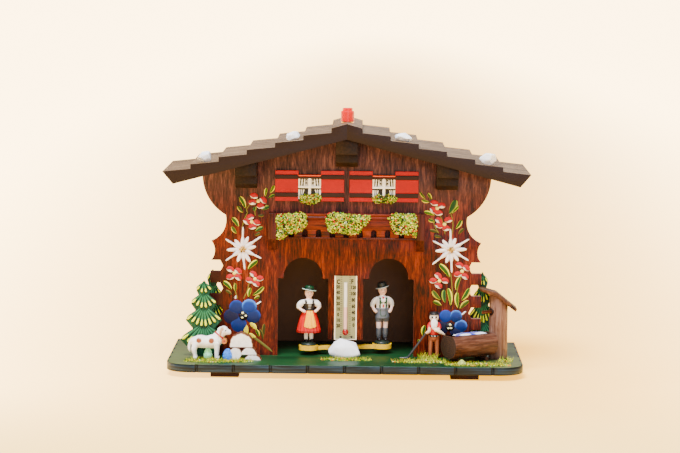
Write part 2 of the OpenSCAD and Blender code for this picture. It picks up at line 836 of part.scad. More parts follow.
// A clump is given by its place along the balcony, its width and its height
module balcony_moss(clump) {
    top = balcony_board_z + balcony_board_h + moss_up;
    moss(clump[0], top - clump[2] / 2, balcony_y - rail_out, clump[1], clump[2], moss_d);
}

// Thermometer on the post between the doorways

module thermometer_plate() {
    color("darkkhaki") plate_xz(wall_y - plate_t, plate_t) difference() {
        translate([-plate_w / 2, plate_z]) square([plate_w, plate_h]);
        translate([0, bulb_z]) circle(bulb_r + seat_gap);
    }
}

module tube_solid(r, ball, l) {
    cylinder(r = r, h = l);
    sphere(ball);
}

module thermometer_tube() {
    wall = tube_r - tube_bore_r;
    color("whitesmoke") translate([0, tube_y, bulb_z]) difference() {
        intersection() {
            tube_solid(tube_r, bulb_r, tube_l);
            translate([-plate_w, -plate_w, -plate_w]) {
                cube([2 * plate_w, plate_w + wall_y - tube_y, plate_h + plate_w]);
            }
        }
        tube_solid(tube_bore_r, tube_r, tube_l - wall);
    }
}

module thermometer_spirit() {
    color("red") translate([0, tube_y, bulb_z]) {
        tube_solid(tube_bore_r - fixed_gap, tube_r - fixed_gap, spirit_l);
    }
}

// Garden on the base

module doorstep_stone() {
    color("white") translate([stone_pos.x, stone_pos.y, floor_z]) {
        lump(stone_w, stone_d, stone_h, sides = 14, rings = 5, wave = 0.14, square = 2.6);
    }
}

// Tufts of grass in front of the dog, the stone, the farmer, the trough and the well
module tuft(pos, w) {
    translate([pos.x, pos.y, floor_z]) {
        lump(w, tuft_d, tuft_h, sides = 16, rings = 3, wave = 0.3, beat = 5);
    }
}

module grass() {
    color("yellowgreen") {
        tuft(dog_pos + [4, -9.6], w = 31);
        tuft(stone_pos + [0.8, -8.8], w = 28);
        tuft(farmer_pos + [-8.8, -13], w = 25);
        tuft(trough_mid + [4, -14.6], w = 34);
        tuft(well_pos + [3.7, -11.2], w = 6);
    }
}

// A tiered fir sawn from a board; each tier is wider and longer than the one above, and its boughs
// hang from the tip down to the neck over the next tier
module fir(x, y, h, w) {
    tiers = 4;
    function tip(i) = [w * (0.32 + 0.68 * i / (tiers - 1)), h * (1 - (i + 1) * (i + 6) / 46)];
    function neck(i) = [tip(i).x * (0.7 - 0.06 * i), tip(i).y - h * (0.06 + 0.03 * i)];
    side = [for (i = [0 : tiers - 1], inner = [0, 1]) inner == 0 ? tip(i) : neck(i)];
    stem = w * 0.3;
    color("darkgreen") translate([x, 0, floor_z]) plate_xz(y, fir_t) polygon(concat(
        [[0, h]], side, [[stem, 0], [-stem, 0]],
        [for (i = [len(side) - 1 : -1 : 0]) [-side[i].x, side[i].y]]
    ));
}

module fir_front() { fir(-side_half - fir_inset, wall_y - fir_out, fir_h, fir_w); }

module fir_back(x) { fir(x, back_fir_y, back_fir_h, back_fir_w); }

module dog_shape() {
    back = dog_h - 4;
    chest = [dog_l / 2, 0, back + 0.2];
    head = [dog_l / 2 + 4.6, 0, back + 5.8];
    limb([-dog_l / 2, 0, back - 0.3], chest, 3.7, 4.1);
    limb(chest + [0.5, 0, 1], head - [0.6, 0, 0.4], 3, 2.5);
    limb(head, head + [0.2, 0, -0.3], 2.9, 2.7);
    limb(head + [1, 0, -0.6], head + [3.2, 0, -1], 1.9, 1.4);
    for (s = [-1, 1]) {
        limb(head + [-1.2, s * 2.2, 1], head + [-1.6, s * 2.9, -1.6], 0.9, 1);
        limb([dog_l / 2 + 0.6, s * 2.1, back - 1.5], [dog_l / 2 + 0.8, s * 2.1, 0.9], 1.7, 1.2);
        limb([-dog_l / 2 - 0.8, s * 2.1, back - 1], [-dog_l / 2 - 1.4, s * 2.1, 0.9], 2, 1.2);
    }
    limb([-dog_l / 2 - 2.6, 0, back], [-dog_l / 2 - 3.6, 0, back - 5.4], 1, 0.8);
}

module dog() {
    color("white") translate([dog_pos.x, dog_pos.y, floor_z]) intersection() {
        dog_shape();
        translate([-base_w / 2, -base_w / 2, 0]) cube(base_w);
    }
}

// The keg lies across the chest, on a round collar
module dog_barrel() {
    back = dog_h - 4;
    keg = [dog_l / 2 + 4.9, 0, back + 0.6];
    color("sienna") translate([dog_pos.x, dog_pos.y, floor_z]) difference() {
        translate(keg) rotate([90, 0, 0]) cylinder(r = keg_r, h = keg_l, center = true, $fn = 20);
        dog_shape();
    }
}

// A log of radius r, split so that it stands h high on its flat side at height z
module split_log(x, z, h, r) {
    translate([pile_pos.x + x, pile_pos.y, floor_z + z]) rotate([90, 0, 0]) difference() {
        translate([0, h - r, 0]) cylinder(r = r, h = log_l, center = true);
        translate([-2 * r, -4 * r, -log_l]) cube([4 * r, 4 * r, 2 * log_l]);
    }
}

module woodpile() {
    color("burlywood") {
        split_log(x = 5.5, z = 0, h = pile_low_h, r = 5.7);
        split_log(x = 3.5, z = pile_low_h + pile_gap, h = pile_mid_h - pile_low_h - pile_gap, r = 4.4);
        split_log(x = -3.9, z = 0, h = pile_mid_h, r = pile_mid_h / 2);
        split_log(x = -0.7, z = pile_mid_h + pile_gap, h = pile_h - pile_mid_h - pile_gap, r = 6.3);
    }
}

module along_trough() {
    translate([trough_mid.x, trough_mid.y, trough_z]) rotate([0, 0, trough_turn]) children();
}

module trough_log() {
    color("#84573b") along_trough() difference() {
        rotate([0, 90, 0]) cylinder(r = trough_r, h = trough_l, center = true);
        translate([-trough_l, -trough_r, trough_rim]) cube([2 * trough_l, 2 * trough_r, trough_r]);
        translate([-hollow_l / 2, -hollow_w / 2, trough_rim - hollow_d]) {
            cube([hollow_l, hollow_w, hollow_d + cut]);
        }
    }
}

module trough_water() {
    w = hollow_w - 2 * fixed_gap;
    l = hollow_l - 2 * fixed_gap;
    color("steelblue") along_trough() translate([-l / 2, -w / 2, trough_rim - hollow_d]) {
        cube([l, w, hollow_d - water_drop]);
    }
}

module trough_bearers() {
    z = bearer_d / 2 + floor_z - trough_z;
    color("sienna") along_trough() for (s = [-1, 1]) {
        translate([s * (trough_l / 2 - bearer_inset), 0, z]) rotate([90, 0, 0]) {
            cylinder(r = bearer_d / 2, h = bearer_l, center = true);
        }
    }
}

module well_post() {
    color("#ad866f") difference() {
        translate([well_pos.x, well_pos.y, floor_z]) cylinder(r = well_r, h = well_h + well_r);
        translate([well_pos.x, 0, floor_z + well_h]) plate_xz(well_pos.y - 2 * well_r, 4 * well_r) polygon([
            well_left, well_bend, well_right, [well_right.x, 2 * well_r], [well_left.x, 2 * well_r]
        ]);
        spout_axis() cylinder(r = spout_r + fixed_gap, h = spout_depth + well_r);
    }
}

// A bent board lies on the post; it is thickest over the bend
module well_roof() {
    color("#b18e66") translate([well_pos.x, 0, floor_z + well_h]) {
        plate_xz(well_pos.y - well_roof_d / 2, well_roof_d) polygon([
            well_left, well_bend, well_right, well_right + well_roof_t * [0.4, 0.7],
            well_bend + well_roof_t * [0.2, 1.15], well_left + well_roof_t * [0, 0.8]
        ]);
    }
}

// The spout's axis runs along the trough and starts inside the post
module spout_axis() {
    translate([well_pos.x, well_pos.y, floor_z + spout_h]) rotate([0, 0, trough_turn + 180]) {
        translate([well_r - spout_depth, 0, 0]) rotate([0, 90, 0]) children();
    }
}

module well_spout() {
    color("sienna") spout_axis() cylinder(r = spout_r, h = spout_depth + spout_l);
}

// People: turned and carved wood, told apart by paint

module carved_head(z, r) {
    translate([0, 0, z]) sphere(r, $fn = 16);
    translate([0, -r, z - 0.2 * r]) sphere(0.2 * r, $fn = 8);
}

module carved_hat(z, brim, crown, crown_h, lean) {
    translate([0, 0, z]) rotate([0, lean, 0]) rotate_extrude($fn = 20) polygon([
        [0, 0], [brim, 0], [brim, 0.6], [crown * 1.1, 0.9], [crown * 0.92, crown_h], [0, crown_h + 0.3]
    ]);
}

module farmer() {
    hip = 12.6;
    neck = 20.6;
    shoulder = [2.6, 0, neck - 1.4];
    elbow = [3.6, -0.6, neck - 4.6];
    color("#c08060") translate([farmer_pos.x, farmer_pos.y, floor_z]) scale(farmer_k) {
        both_sides() {
            limb([1.7, 0, 1.2], [1.5, 0, hip], 1.15, 1.6);
            limb([1.7, -1.2, 0.8], [1.7, 0.6, 0.8], 0.8, 0.8);
            limb(shoulder, elbow, 1.25, 1);
        }
        limb([0, 0, hip], [0, 0, neck - 1.6], 2.7, 2.6);
        limb(elbow, [5.2, -2.4, neck - 6.4], 1, 0.9);
        limb([-elbow.x, elbow.y, elbow.z], [-4.1, -1.4, neck - 6.2], 1, 1);
        carved_head(neck + 2.4, 2.5);
        carved_hat(neck + 3.6, 2.7, 2.1, 1.6, 0);
    }
}

// The hoe stands in the left hand; its blade lies on the ground
module farmer_hoe() {
    hand = [-4.4, -3.3, 14.6];
    tip = [-14.4, -4, 0.8];
    color("dimgray") translate([farmer_pos.x, farmer_pos.y, floor_z]) scale(farmer_k) {
        limb(hand, tip, 0.6, 0.7);
        limb(tip, tip - [4.4, 0, 0], 0.8, 0.6);
    }
}

module figure_stand() {
    cylinder(r = stand_r, h = stand_rim, $fn = 24);
    translate([0, 0, stand_rim]) {
        cylinder(r1 = stand_r, r2 = stand_r - 1, h = stand_h - stand_rim, $fn = 24);
    }
}

module woman_body() {
    hem = 7.2;
    waist = 19.3;
    shoulder = 24;
    chin = 27.2;
    elbow = [5.7, 0.1, 21.4];
    both_sides() {
        limb([1.6, -0.9, 2.4], [1.5, 0.5, 2.5], 0.9, 0.9);
        limb([1.5, 0.2, 2.6], [1.5, 0.2, hem + 1.4], 1.1, 1.2);
        limb([3.5, 0, shoulder], elbow, 1.5, 1.3);
        limb(elbow, [2.8, -2.6, waist - 0.5], 1.2, 0.9);
    }
    rotate_extrude($fn = 24) polygon([
        [0, hem], [6.2, hem], [6.6, hem + 0.8], [5.6, 12.5], [4.3, 17], [3, waist], [2.9, waist + 1.3],
        [3.5, shoulder - 1], [3.3, shoulder + 0.6], [1.4, chin - 1.6], [1.2, chin], [0, chin]
    ]);
    carved_head(chin + 1.6, 2.8);
    carved_hat(chin + 3.4, 3.9, 2.5, 2.6, 10);
}

module man_body() {
    knee = 10;
    seat = 12.4;
    waist = 20;
    shoulder = 25.2;
    chin = 28;
    elbow = [5.7, 0.6, 21.6];
    both_sides() {
        limb([1.8, -1.3, 2.4], [1.7, 0.6, 2.6], 1, 1);
        limb([1.7, 0.2, 2.8], [1.7, 0.2, knee], 1.2, 1.5);
        limb([1.7, 0.2, knee], [1.9, 0, seat + 1], 1.4, 1.9);
        limb([3.3, 0, shoulder], elbow, 1.5, 1.25);
        limb(elbow, [3.9, -1.4, waist - 2], 1.2, 1.1);
    }
    rotate_extrude($fn = 24) polygon([
        [0, seat], [3.9, seat], [4.1, seat + 1.6], [3.6, waist - 1.4], [3.3, waist],
        [3.7, shoulder - 0.6], [3, shoulder + 1], [1.4, chin - 1.2], [1.2, chin], [0, chin]
    ]);
    carved_head(chin + 1.7, 2.8);
    carved_hat(chin + 3.4, 3.7, 2.5, 3.2, -8);
}

// Turning group under the gut

module beam_frame() {
    translate([0, pivot_y, 0]) rotate([0, 0, beam_rest]) children();
}

module figure_beam() {
    color("gold") beam_frame() difference() {
        union() {
            translate([-beam_r, -lath_w / 2, beam_z]) cube([2 * beam_r, lath_w, lath_t]);
            for (s = [-1, 1]) translate([s * beam_r, 0, beam_z]) cylinder(r = pad_r, h = pad_t);
            translate([0, 0, beam_z]) cylinder(r = hub_r, h = pad_t);
        }
        translate([0, 0, beam_z - cut]) cylinder(r = spindle_r + fixed_gap, h = pad_t + 2 * cut);
    }
}

// The spindle stands in the beam's hub and holds the lower end of the gut in a sleeve
module beam_spindle() {
    bore_z = spindle_top_z + sleeve_end;
    color("silver") translate([0, pivot_y, 0]) difference() {
        union() {
            translate([0, 0, beam_z]) cylinder(r = spindle_r, h = spindle_top_z - beam_z);
            translate([0, 0, spindle_top_z]) cylinder(r = sleeve_r, h = sleeve_l);
        }
        translate([0, 0, bore_z]) cylinder(r = gut_r + run_gap, h = sleeve_l);
    }
}

module on_pad(side) {
    beam_frame() translate([side * beam_r, 0, pad_top_z]) children();
}

module carved_woman() {
    figure_stand();
    scale(woman_h / woman_drawn_h) woman_body();
}

module carved_man() {
    figure_stand();
    scale(man_h / man_drawn_h) man_body();
}

module woman() { color("mistyrose") on_pad(-1) carved_woman(); }

module man() { color("mistyrose") on_pad(1) carved_man(); }

// Knob group: the chimney turns the top end of the gut

module chimney_knob() {
    neck = chimney_r - chimney_step;
    shoulder = chimney_h - chimney_top_h;
    bore_l = shoulder - chimney_cap + fixed_gap;
    color("crimson") translate([0, pivot_y, chimney_z]) difference() {
        rotate_extrude() polygon([
            [0, 0], [chimney_r, 0], [chimney_r, shoulder - chimney_chamfer],
            [chimney_r - chimney_chamfer, shoulder], [neck, shoulder],
            [neck, chimney_h - chimney_chamfer], [neck - chimney_chamfer, chimney_h], [0, chimney_h]
        ]);
        translate([0, 0, -cut]) cylinder(r = stem_r + fixed_gap, h = bore_l + cut);
    }
}

module knob_stem() {
    top = chimney_z + chimney_h - chimney_top_h - chimney_cap;
    color("silver") translate([0, pivot_y, 0]) difference() {
        union() {
            translate([0, 0, stem_end_z]) cylinder(r = stem_r, h = top - stem_end_z);
            translate([0, 0, stem_end_z - sleeve_l]) cylinder(r = sleeve_r, h = sleeve_l);
        }
        translate([0, 0, stem_end_z - sleeve_l - cut]) {
            cylinder(r = gut_r + fixed_gap, h = sleeve_bore_l + cut);
        }
    }
}

module stem_collar() {
    h = block_z - face_gap - stem_end_z;
    color("goldenrod") translate([0, pivot_y, stem_end_z]) difference() {
        cylinder(r = bush_r + collar_step, h = h);
        translate([0, 0, -cut]) cylinder(r = stem_r + fixed_gap, h = h + 2 * cut);
    }
}

module gut_strand() {
    low = spindle_top_z + sleeve_end + face_gap;
    high = stem_end_z - sleeve_l + sleeve_bore_l;
    color("wheat") translate([0, pivot_y, low]) cylinder(r = gut_r, h = high - low);
}

base_plate();
foot_batten(-1);  // foot_batten_left
foot_batten(1);  // foot_batten_right
front_wall();
side_wall(-1);  // side_wall_left
side_wall(1);  // side_wall_right
back_wall();
roof_left();
roof_right();
purlin(0, ridge_purlin_h);  // ridge_purlin
purlin(-purlin_x, purlin_h);  // purlin_left
purlin(purlin_x, purlin_h);  // purlin_right
corbel(0, ridge_purlin_h);  // ridge_corbel
corbel(-purlin_x, purlin_h);  // corbel_left
corbel(purlin_x, purlin_h);  // corbel_right
ridge_block();
ridge_bush();
roof_stones();
window_panes();
window_frames();
shutters(-1);  // shutters_left
shutters(1);  // shutters_right
shutter_battens();
window_moss();
balcony_floor();
balcony_board();
balcony_rail();
balcony_post(-1);  // balcony_post_left
balcony_post(1);  // balcony_post_right
balcony_moss(moss_left);  // balcony_moss_left
balcony_moss(moss_middle);  // balcony_moss_middle
balcony_moss(moss_right);  // balcony_moss_right
thermometer_plate();
thermometer_tube();
thermometer_spirit();
doorstep_stone();
grass();
fir_front();
fir_back(-back_fir_x);  // fir_back_left
fir_back(back_fir_x + fir_step);  // fir_back_right
dog();
dog_barrel();
woodpile();
trough_log();
trough_water();
trough_bearers();
well_post();
well_spout();
well_roof();
farmer();
farmer_hoe();
chimney_knob();
knob_stem();
stem_collar();
gut_strand();
figure_beam();
beam_spindle();
woman();
man();
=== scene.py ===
"""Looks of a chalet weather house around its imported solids.

Shapes are worked out in millimetres, in the frame of the solids, and become metres in their meshes.
"""
import json
import math

import bmesh
import bpy
import numpy as np
from mathutils import Matrix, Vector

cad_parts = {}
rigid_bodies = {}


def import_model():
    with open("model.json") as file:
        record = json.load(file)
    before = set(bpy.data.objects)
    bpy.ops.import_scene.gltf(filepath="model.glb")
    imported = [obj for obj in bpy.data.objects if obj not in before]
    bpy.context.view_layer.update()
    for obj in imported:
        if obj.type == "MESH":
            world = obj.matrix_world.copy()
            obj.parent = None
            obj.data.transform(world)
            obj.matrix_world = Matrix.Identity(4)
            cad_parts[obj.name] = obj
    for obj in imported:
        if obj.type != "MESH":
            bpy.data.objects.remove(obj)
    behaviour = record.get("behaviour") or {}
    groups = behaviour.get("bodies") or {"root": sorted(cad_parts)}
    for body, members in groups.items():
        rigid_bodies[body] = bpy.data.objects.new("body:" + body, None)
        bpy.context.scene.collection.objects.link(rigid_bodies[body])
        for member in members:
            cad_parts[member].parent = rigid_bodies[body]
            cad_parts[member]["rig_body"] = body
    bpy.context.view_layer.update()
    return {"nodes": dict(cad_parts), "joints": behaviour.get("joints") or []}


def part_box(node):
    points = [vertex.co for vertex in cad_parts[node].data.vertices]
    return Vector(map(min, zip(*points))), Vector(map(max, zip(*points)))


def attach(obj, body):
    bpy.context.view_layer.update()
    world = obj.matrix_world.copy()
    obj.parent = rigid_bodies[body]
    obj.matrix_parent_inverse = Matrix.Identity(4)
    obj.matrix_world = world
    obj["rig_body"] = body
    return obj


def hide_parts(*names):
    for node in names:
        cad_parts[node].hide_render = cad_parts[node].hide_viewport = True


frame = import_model()

MM = 0.001
TURN = 2 * math.pi


def box_mm(node):
    """Lowest and highest corner of a solid, in millimetres."""
    low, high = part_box(node)
    return np.array(low) / MM, np.array(high) / MM


# Power that deepens every paint but white
PAINT_DEPTH = 1.15


def srgb(red, green, blue):
    """A colour given as 0 to 255 in sRGB, as linear values for a shader, raised to the paints' power."""
    c = np.array([red, green, blue]) / 255
    return np.where(c <= 0.04045, c / 12.92, ((c + 0.055) / 1.055) ** 2.4) ** PAINT_DEPTH


def unit(vectors):
    """Vectors of length 1 that point the same ways."""
    return vectors / np.linalg.norm(vectors, axis=-1, keepdims=True)


def around(count):
    """Even angles once round a circle."""
    return np.linspace(0, TURN, count, endpoint=False)


def put(name, data):
    """A new object in the scene."""
    made = bpy.data.objects.new(name, data)
    bpy.context.scene.collection.objects.link(made)
    return made


# Places taken from the solids
FLOOR_Z = box_mm("base_plate")[1][2]
WALL_Y = box_mm("front_wall")[0][1]


# Camera and light

CAMERA_AT_MM = (9.59, -1421.43, 220.64)
CAMERA_PITCH = 0.0998
CAMERA_PAN = -0.0093
CAMERA_ROLL = 0.0095
CAMERA_LENS_MM = 136.19
SENSOR_MM = 36.0
CAMERA_TURN = (Matrix.Rotation(-CAMERA_PAN, 4, "Z") @ Matrix.Rotation(math.pi / 2 - CAMERA_PITCH, 4, "X")
               @ Matrix.Rotation(CAMERA_ROLL, 4, "Z"))


def add_camera():
    """The camera of the photograph: a pan about Z, then a pitch down, then a roll about its own axis."""
    data = bpy.data.cameras.new("camera")
    data.sensor_width = SENSOR_MM
    data.lens = CAMERA_LENS_MM
    data.clip_end = 200
    camera = put("camera", data)
    camera.matrix_world = Matrix.Translation(np.array(CAMERA_AT_MM) * MM) @ CAMERA_TURN
    bpy.context.scene.camera = camera


# Lights: name, place in metres, width, power and colour; all look at one place
LIGHTS = (
    ("key_light", (-0.2, -0.62, 1.3), 0.6, 60, (0.97, 1, 1.09)),
    ("front_light", (0.3, -1.5, 0.45), 0.9, 10.4, (0.97, 1, 1.09)),
    ("rear_light", (0.2, 0.9, 1.0), 0.9, 12, (1, 0.97, 0.93)),
)
LIGHT_AIM = (0, 0, 0.07)
SKY_COLOUR = (0.94, 0.97, 1, 1)
SKY_STRENGTH = 0.4


def add_light(name, at, size, watts, colour):
    """A square soft light that looks at the middle of the house."""
    data = bpy.data.lights.new(name, "AREA")
    data.size = size
    data.energy = watts
    data.color = colour
    away = np.subtract(at, LIGHT_AIM)
    across = unit(np.cross([0, 0, 1], away))
    back = unit(away)
    turn = np.eye(4)
    turn[:3, :3] = np.stack([across, np.cross(back, across), back], -1)
    turn[:3, 3] = at
    put(name, data).matrix_world = Matrix(turn.tolist())


def add_studio():
    """Soft light from above and in front, a paler one from behind, and an even sky."""
    for light in LIGHTS:
        add_light(*light)
    world = bpy.data.worlds.new("studio")
    world.use_nodes = True
    sky = world.node_tree.nodes["Background"]
    sky.inputs["Color"].default_value = SKY_COLOUR
    sky.inputs["Strength"].default_value = SKY_STRENGTH
    bpy.context.scene.world = world


# Shader wiring

def wire(tree, kind, inputs=None, **settings):
    """Adds a node; an input is a value, or a socket that gets linked."""
    node = tree.nodes.new(kind)
    for key, value in settings.items():
        setattr(node, key, value)
    for key, value in (inputs or {}).items():
        if isinstance(value, bpy.types.NodeSocket):
            tree.links.new(value, node.inputs[key])
        else:
            node.inputs[key].default_value = value
    return node


def math_node(tree, operation, *values):
    """One step of arithmetic; gives its result."""
    return wire(tree, "ShaderNodeMath", dict(enumerate(values)), operation=operation).outputs[0]


def mix_colour(tree, factor, first, second, blend="MIX"):
    """Two colours mixed by a factor; gives the colour."""
    node = tree.nodes.new("ShaderNodeMix")
    node.data_type = "RGBA"
    node.blend_type = blend
    for socket, value in ((node.inputs[0], factor), (node.inputs[6], first), (node.inputs[7], second)):
        if isinstance(value, bpy.types.NodeSocket):
            tree.links.new(value, socket)
        elif np.ndim(value):
            socket.default_value = (*value, 1)
        else:
            socket.default_value = value
    return node.outputs[2]


def ramp(tree, value, low, high):
    """0 below low, 1 above high and a smooth rise between them."""
    node = wire(tree, "ShaderNodeMapRange", {0: value, 1: low, 2: high}, interpolation_type="SMOOTHSTEP")
    return node.outputs[0]


def noise(tree, vector, scale, detail=4.0, rough=0.55, bend=0.0):
    """A cloud of values about 0.5."""
    inputs = {"Vector": vector, "Scale": scale, "Detail": detail, "Roughness": rough, "Distortion": bend}
    return wire(tree, "ShaderNodeTexNoise", inputs).outputs["Fac"]


def new_group(name, inputs, outputs):
    """An empty shader group with its sockets, its tree and the sockets inside."""
    tree = bpy.data.node_groups.new(name, "ShaderNodeTree")
    for socket, kind, default in inputs:
        made = tree.interface.new_socket(socket, in_out="INPUT", socket_type="NodeSocket" + kind)
        if default is not None:
            made.default_value = default
    for socket, kind in outputs:
        tree.interface.new_socket(socket, in_out="OUTPUT", socket_type="NodeSocket" + kind)
    return tree, tree.nodes.new("NodeGroupInput").outputs, tree.nodes.new("NodeGroupOutput").inputs


def build_grain():
    """Wood whose fibres run along Z: long fine streaks, broader bands, and dark pores."""
    grey = (0.5, 0.5, 0.5, 1)
    tree, given, result = new_group(
        "wood_grain",
        [("Vector", "Vector", None), ("Fibre", "Float", 900.0), ("Stretch", "Float", 0.05),
         ("Pores", "Float", 0.5), ("Dark", "Color", grey), ("Middle", "Color", grey),
         ("Light", "Color", grey)],
        [("Color", "Color"), ("Roughness", "Float"), ("Height", "Float")],
    )
    size = wire(tree, "ShaderNodeCombineXYZ", {0: 1.0, 1: 1.0, 2: given["Stretch"]}).outputs[0]
    long = wire(tree, "ShaderNodeMapping", {"Vector": given["Vector"], "Scale": size}).outputs[0]
    fine = noise(tree, long, given["Fibre"], 5, 0.62, 0.3)
    band = noise(tree, long, math_node(tree, "MULTIPLY", given["Fibre"], 0.16), 3, 0.5, 0.6)
    cloud = noise(tree, given["Vector"], math_node(tree, "MULTIPLY", given["Fibre"], 0.05), 3)
    both = math_node(tree, "MULTIPLY_ADD", fine, 0.55, math_node(tree, "MULTIPLY", band, 0.3))
    tone = math_node(tree, "MULTIPLY_ADD", cloud, 0.15, both)
    low = mix_colour(tree, ramp(tree, tone, 0.4, 0.5), given["Dark"], given["Middle"])
    full = mix_colour(tree, ramp(tree, tone, 0.5, 0.61), low, given["Light"])
    short = wire(tree, "ShaderNodeMapping", {"Vector": given["Vector"], "Scale": (1, 1, 0.12)}).outputs[0]
    pore_noise = noise(tree, short, math_node(tree, "MULTIPLY", given["Fibre"], 2.2), 2, 0.5)
    pore = math_node(tree, "MULTIPLY", ramp(tree, pore_noise, 0.6, 0.7), given["Pores"])
    tree.links.new(mix_colour(tree, pore, full, given["Dark"]), result["Color"])
    tree.links.new(math_node(tree, "MULTIPLY_ADD", fine, 0.3, 0.3), result["Roughness"])
    tree.links.new(math_node(tree, "SUBTRACT", fine, pore), result["Height"])
    return tree


GRAIN = build_grain()


def new_material(name, **sockets):
    """A material with its Principled shader; constants go on the shader's own sockets."""
    material = bpy.data.materials.new(name)
    material.use_nodes = True
    shader = material.node_tree.nodes["Principled BSDF"]
    for key, value in sockets.items():
        shader.inputs[key.replace("_", " ")].default_value = value
    return material, material.node_tree, shader


def feed(tree, shader, **results):
    """Links results to the shader's sockets, whose names have _ for a space."""
    for key, value in results.items():
        tree.links.new(value, shader.inputs[key.replace("_", " ")])


def set_bump(tree, shader, height, distance_mm):
    """Relief from a height that varies over the surface."""
    bump = wire(tree, "ShaderNodeBump", {"Height": height, "Distance": distance_mm * MM, "Strength": 1.0})
    feed(tree, shader, Normal=bump.outputs[0])


def own(tree, kind):
    """One of a piece's own vectors: Object for its place, or Normal for its direction."""
    return wire(tree, "ShaderNodeTexCoord").outputs[kind]


def axes(tree, vector):
    """The parts of a vector along X, Y and Z."""
    return wire(tree, "ShaderNodeSeparateXYZ", {0: vector}).outputs


def object_coordinates(tree, turn=(0, 0, 0)):
    """Object coordinates, turned so that a grain along Z runs another way."""
    return wire(tree, "ShaderNodeMapping", {"Vector": own(tree, "Object"), "Rotation": turn}).outputs[0]


def facing(tree, axis):
    """The part of the surface's own direction that lies along an axis."""
    return axes(tree, own(tree, "Normal"))[axis]


ALONG_X = (0, math.pi / 2, 0)
ALONG_Y = (math.pi / 2, 0, 0)
ALONG_Z = (0, 0, 0)
# How much of its light a stained wood keeps
STAIN_DEPTH = 0.76


def grain_nodes(tree, turn, fibre, stretch, pores, dark, middle, light):
    """The grain group with its colours; gives its outputs."""
    group = wire(tree, "ShaderNodeGroup", node_tree=GRAIN)
    tree.links.new(object_coordinates(tree, turn), group.inputs["Vector"])
    for key, value in (("Fibre", fibre), ("Stretch", stretch), ("Pores", pores)):
        group.inputs[key].default_value = value
    for key, colour in (("Dark", dark), ("Middle", middle), ("Light", light)):
        group.inputs[key].default_value = (*srgb(*colour) * STAIN_DEPTH, 1)
    return group.outputs


def wood(name, turn, fibre, pores, dark, middle, light, coat=0.0, relief_mm=0.08, cover=None, stretch=0.05):
    """Stained wood; cover may paint over the colour and gives the new one."""
    material, tree, shader = new_material(name, Coat_Weight=coat, Coat_Roughness=0.25,
                                          Specular_IOR_Level=0.12)
    grain = grain_nodes(tree, turn, fibre, stretch, pores, dark, middle, light)
    colour = cover(tree, grain["Color"]) if cover else grain["Color"]
    feed(tree, shader, Base_Color=colour, Roughness=grain["Roughness"])
    set_bump(tree, shader, grain["Height"], relief_mm)
    return material


# Meshes


def clean(mesh, source, merge_mm, level=False):
    """Fills a mesh from a source: near corners merge, faces turn outwards, and level joins flat faces."""
    work = bmesh.new()
    work.from_mesh(source)
    bmesh.ops.remove_doubles(work, verts=work.verts, dist=merge_mm * MM)
    if level:
        bmesh.ops.dissolve_limit(work, angle_limit=math.radians(1), verts=work.verts, edges=work.edges)
    bmesh.ops.recalc_face_normals(work, faces=work.faces)
    work.to_mesh(mesh)
    work.free()


def board(node, material, round_mm=0.25):
    """A node's solid with merged corners and rounded edges; it stands for the node."""
    source = frame["nodes"][node]
    mesh = bpy.data.meshes.new("finished_" + node)
    clean(mesh, source.data, 0.001, True)
    mesh.shade_smooth()
    mesh.materials.append(material)
    piece = put("finished_" + node, mesh)
    edge = piece.modifiers.new("round_edges", "BEVEL")
    edge.width = round_mm * MM
    edge.segments = 2
    edge.limit_method = "ANGLE"
    edge.angle_limit = math.radians(30)
    edge.harden_normals = True
    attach(piece, source["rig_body"])
    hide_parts(node)


def finish_nodes(material, *nodes):
    """Gives solids whose shape is right their finish."""
    for node in nodes:
        mesh = frame["nodes"][node].data
        mesh.materials.clear()
        mesh.materials.append(material)


def sheet_mesh(name, grid):
    """A grid of points as an open sheet."""
    rows, columns = grid.shape[:2]
    u, v = np.meshgrid(np.arange(rows - 1), np.arange(columns - 1), indexing="ij")
    corner = u * columns + v
    quads = np.stack([corner, corner + columns, corner + columns + 1, corner + 1], -1).reshape(-1, 4)
    mesh = bpy.data.meshes.new(name)
    mesh.from_pydata((grid.reshape(-1, 3) * MM).tolist(), [], quads.tolist())
    mesh.shade_smooth()
    return mesh


FLOOR_REACH = 60000
FLOOR_LIGHT = 2.2
# Glow of the floor, which lights the house though the floor is no lamp: at the house, where its cream is a
# painted shadow, far around it, and before it
SHADOW_GLOW_NEAR = (1.05, 0.46, 0.01)
GLOW_FAR = (4.8, 3.4, 1.7)
GLOW_FRONT = (0.9, 0.58, 0.16)


def add_floor():
    """A pale floor: a flat grid, far wider than the view.

    It glows and so lights the house; its glow is cream at the house, a painted shadow, and whitens with the
    distance from it, which counts less along Y.
    """
    line = np.linspace(-FLOOR_REACH, FLOOR_REACH, 9)
    x, y = np.meshgrid(line, line, indexing="ij")
    mesh = sheet_mesh("floor", np.stack([x, y, np.zeros_like(x)], -1))
    material, tree, shader = new_material("glowing_paper", Roughness=0.9, Emission_Strength=FLOOR_LIGHT)
    place = object_coordinates(tree)
    tone = noise(tree, place, 9, 4)
    colour = mix_colour(tree, tone, srgb(240, 204, 126), srgb(230, 190, 106))
    inputs = {"Vector": place, "Location": (-0.045, 0, 0), "Scale": (1, 0.06, 0)}
    offset = wire(tree, "ShaderNodeMapping", inputs).outputs[0]
    away = wire(tree, "ShaderNodeVectorMath", {0: offset}, operation="LENGTH").outputs["Value"]
    rear = ramp(tree, axes(tree, place)[1], -0.32, -0.06)
    glow = mix_colour(tree, ramp(tree, away, 0.02, 0.5), SHADOW_GLOW_NEAR, GLOW_FAR)
    glow = mix_colour(tree, rear, GLOW_FRONT, glow)
    feed(tree, shader, Base_Color=colour, Emission_Color=glow)
    mesh.materials.append(material)
    floor = put("floor", mesh)


# Finishes of the boards

LOG_END_X = box_mm("side_wall_right")[1][0]
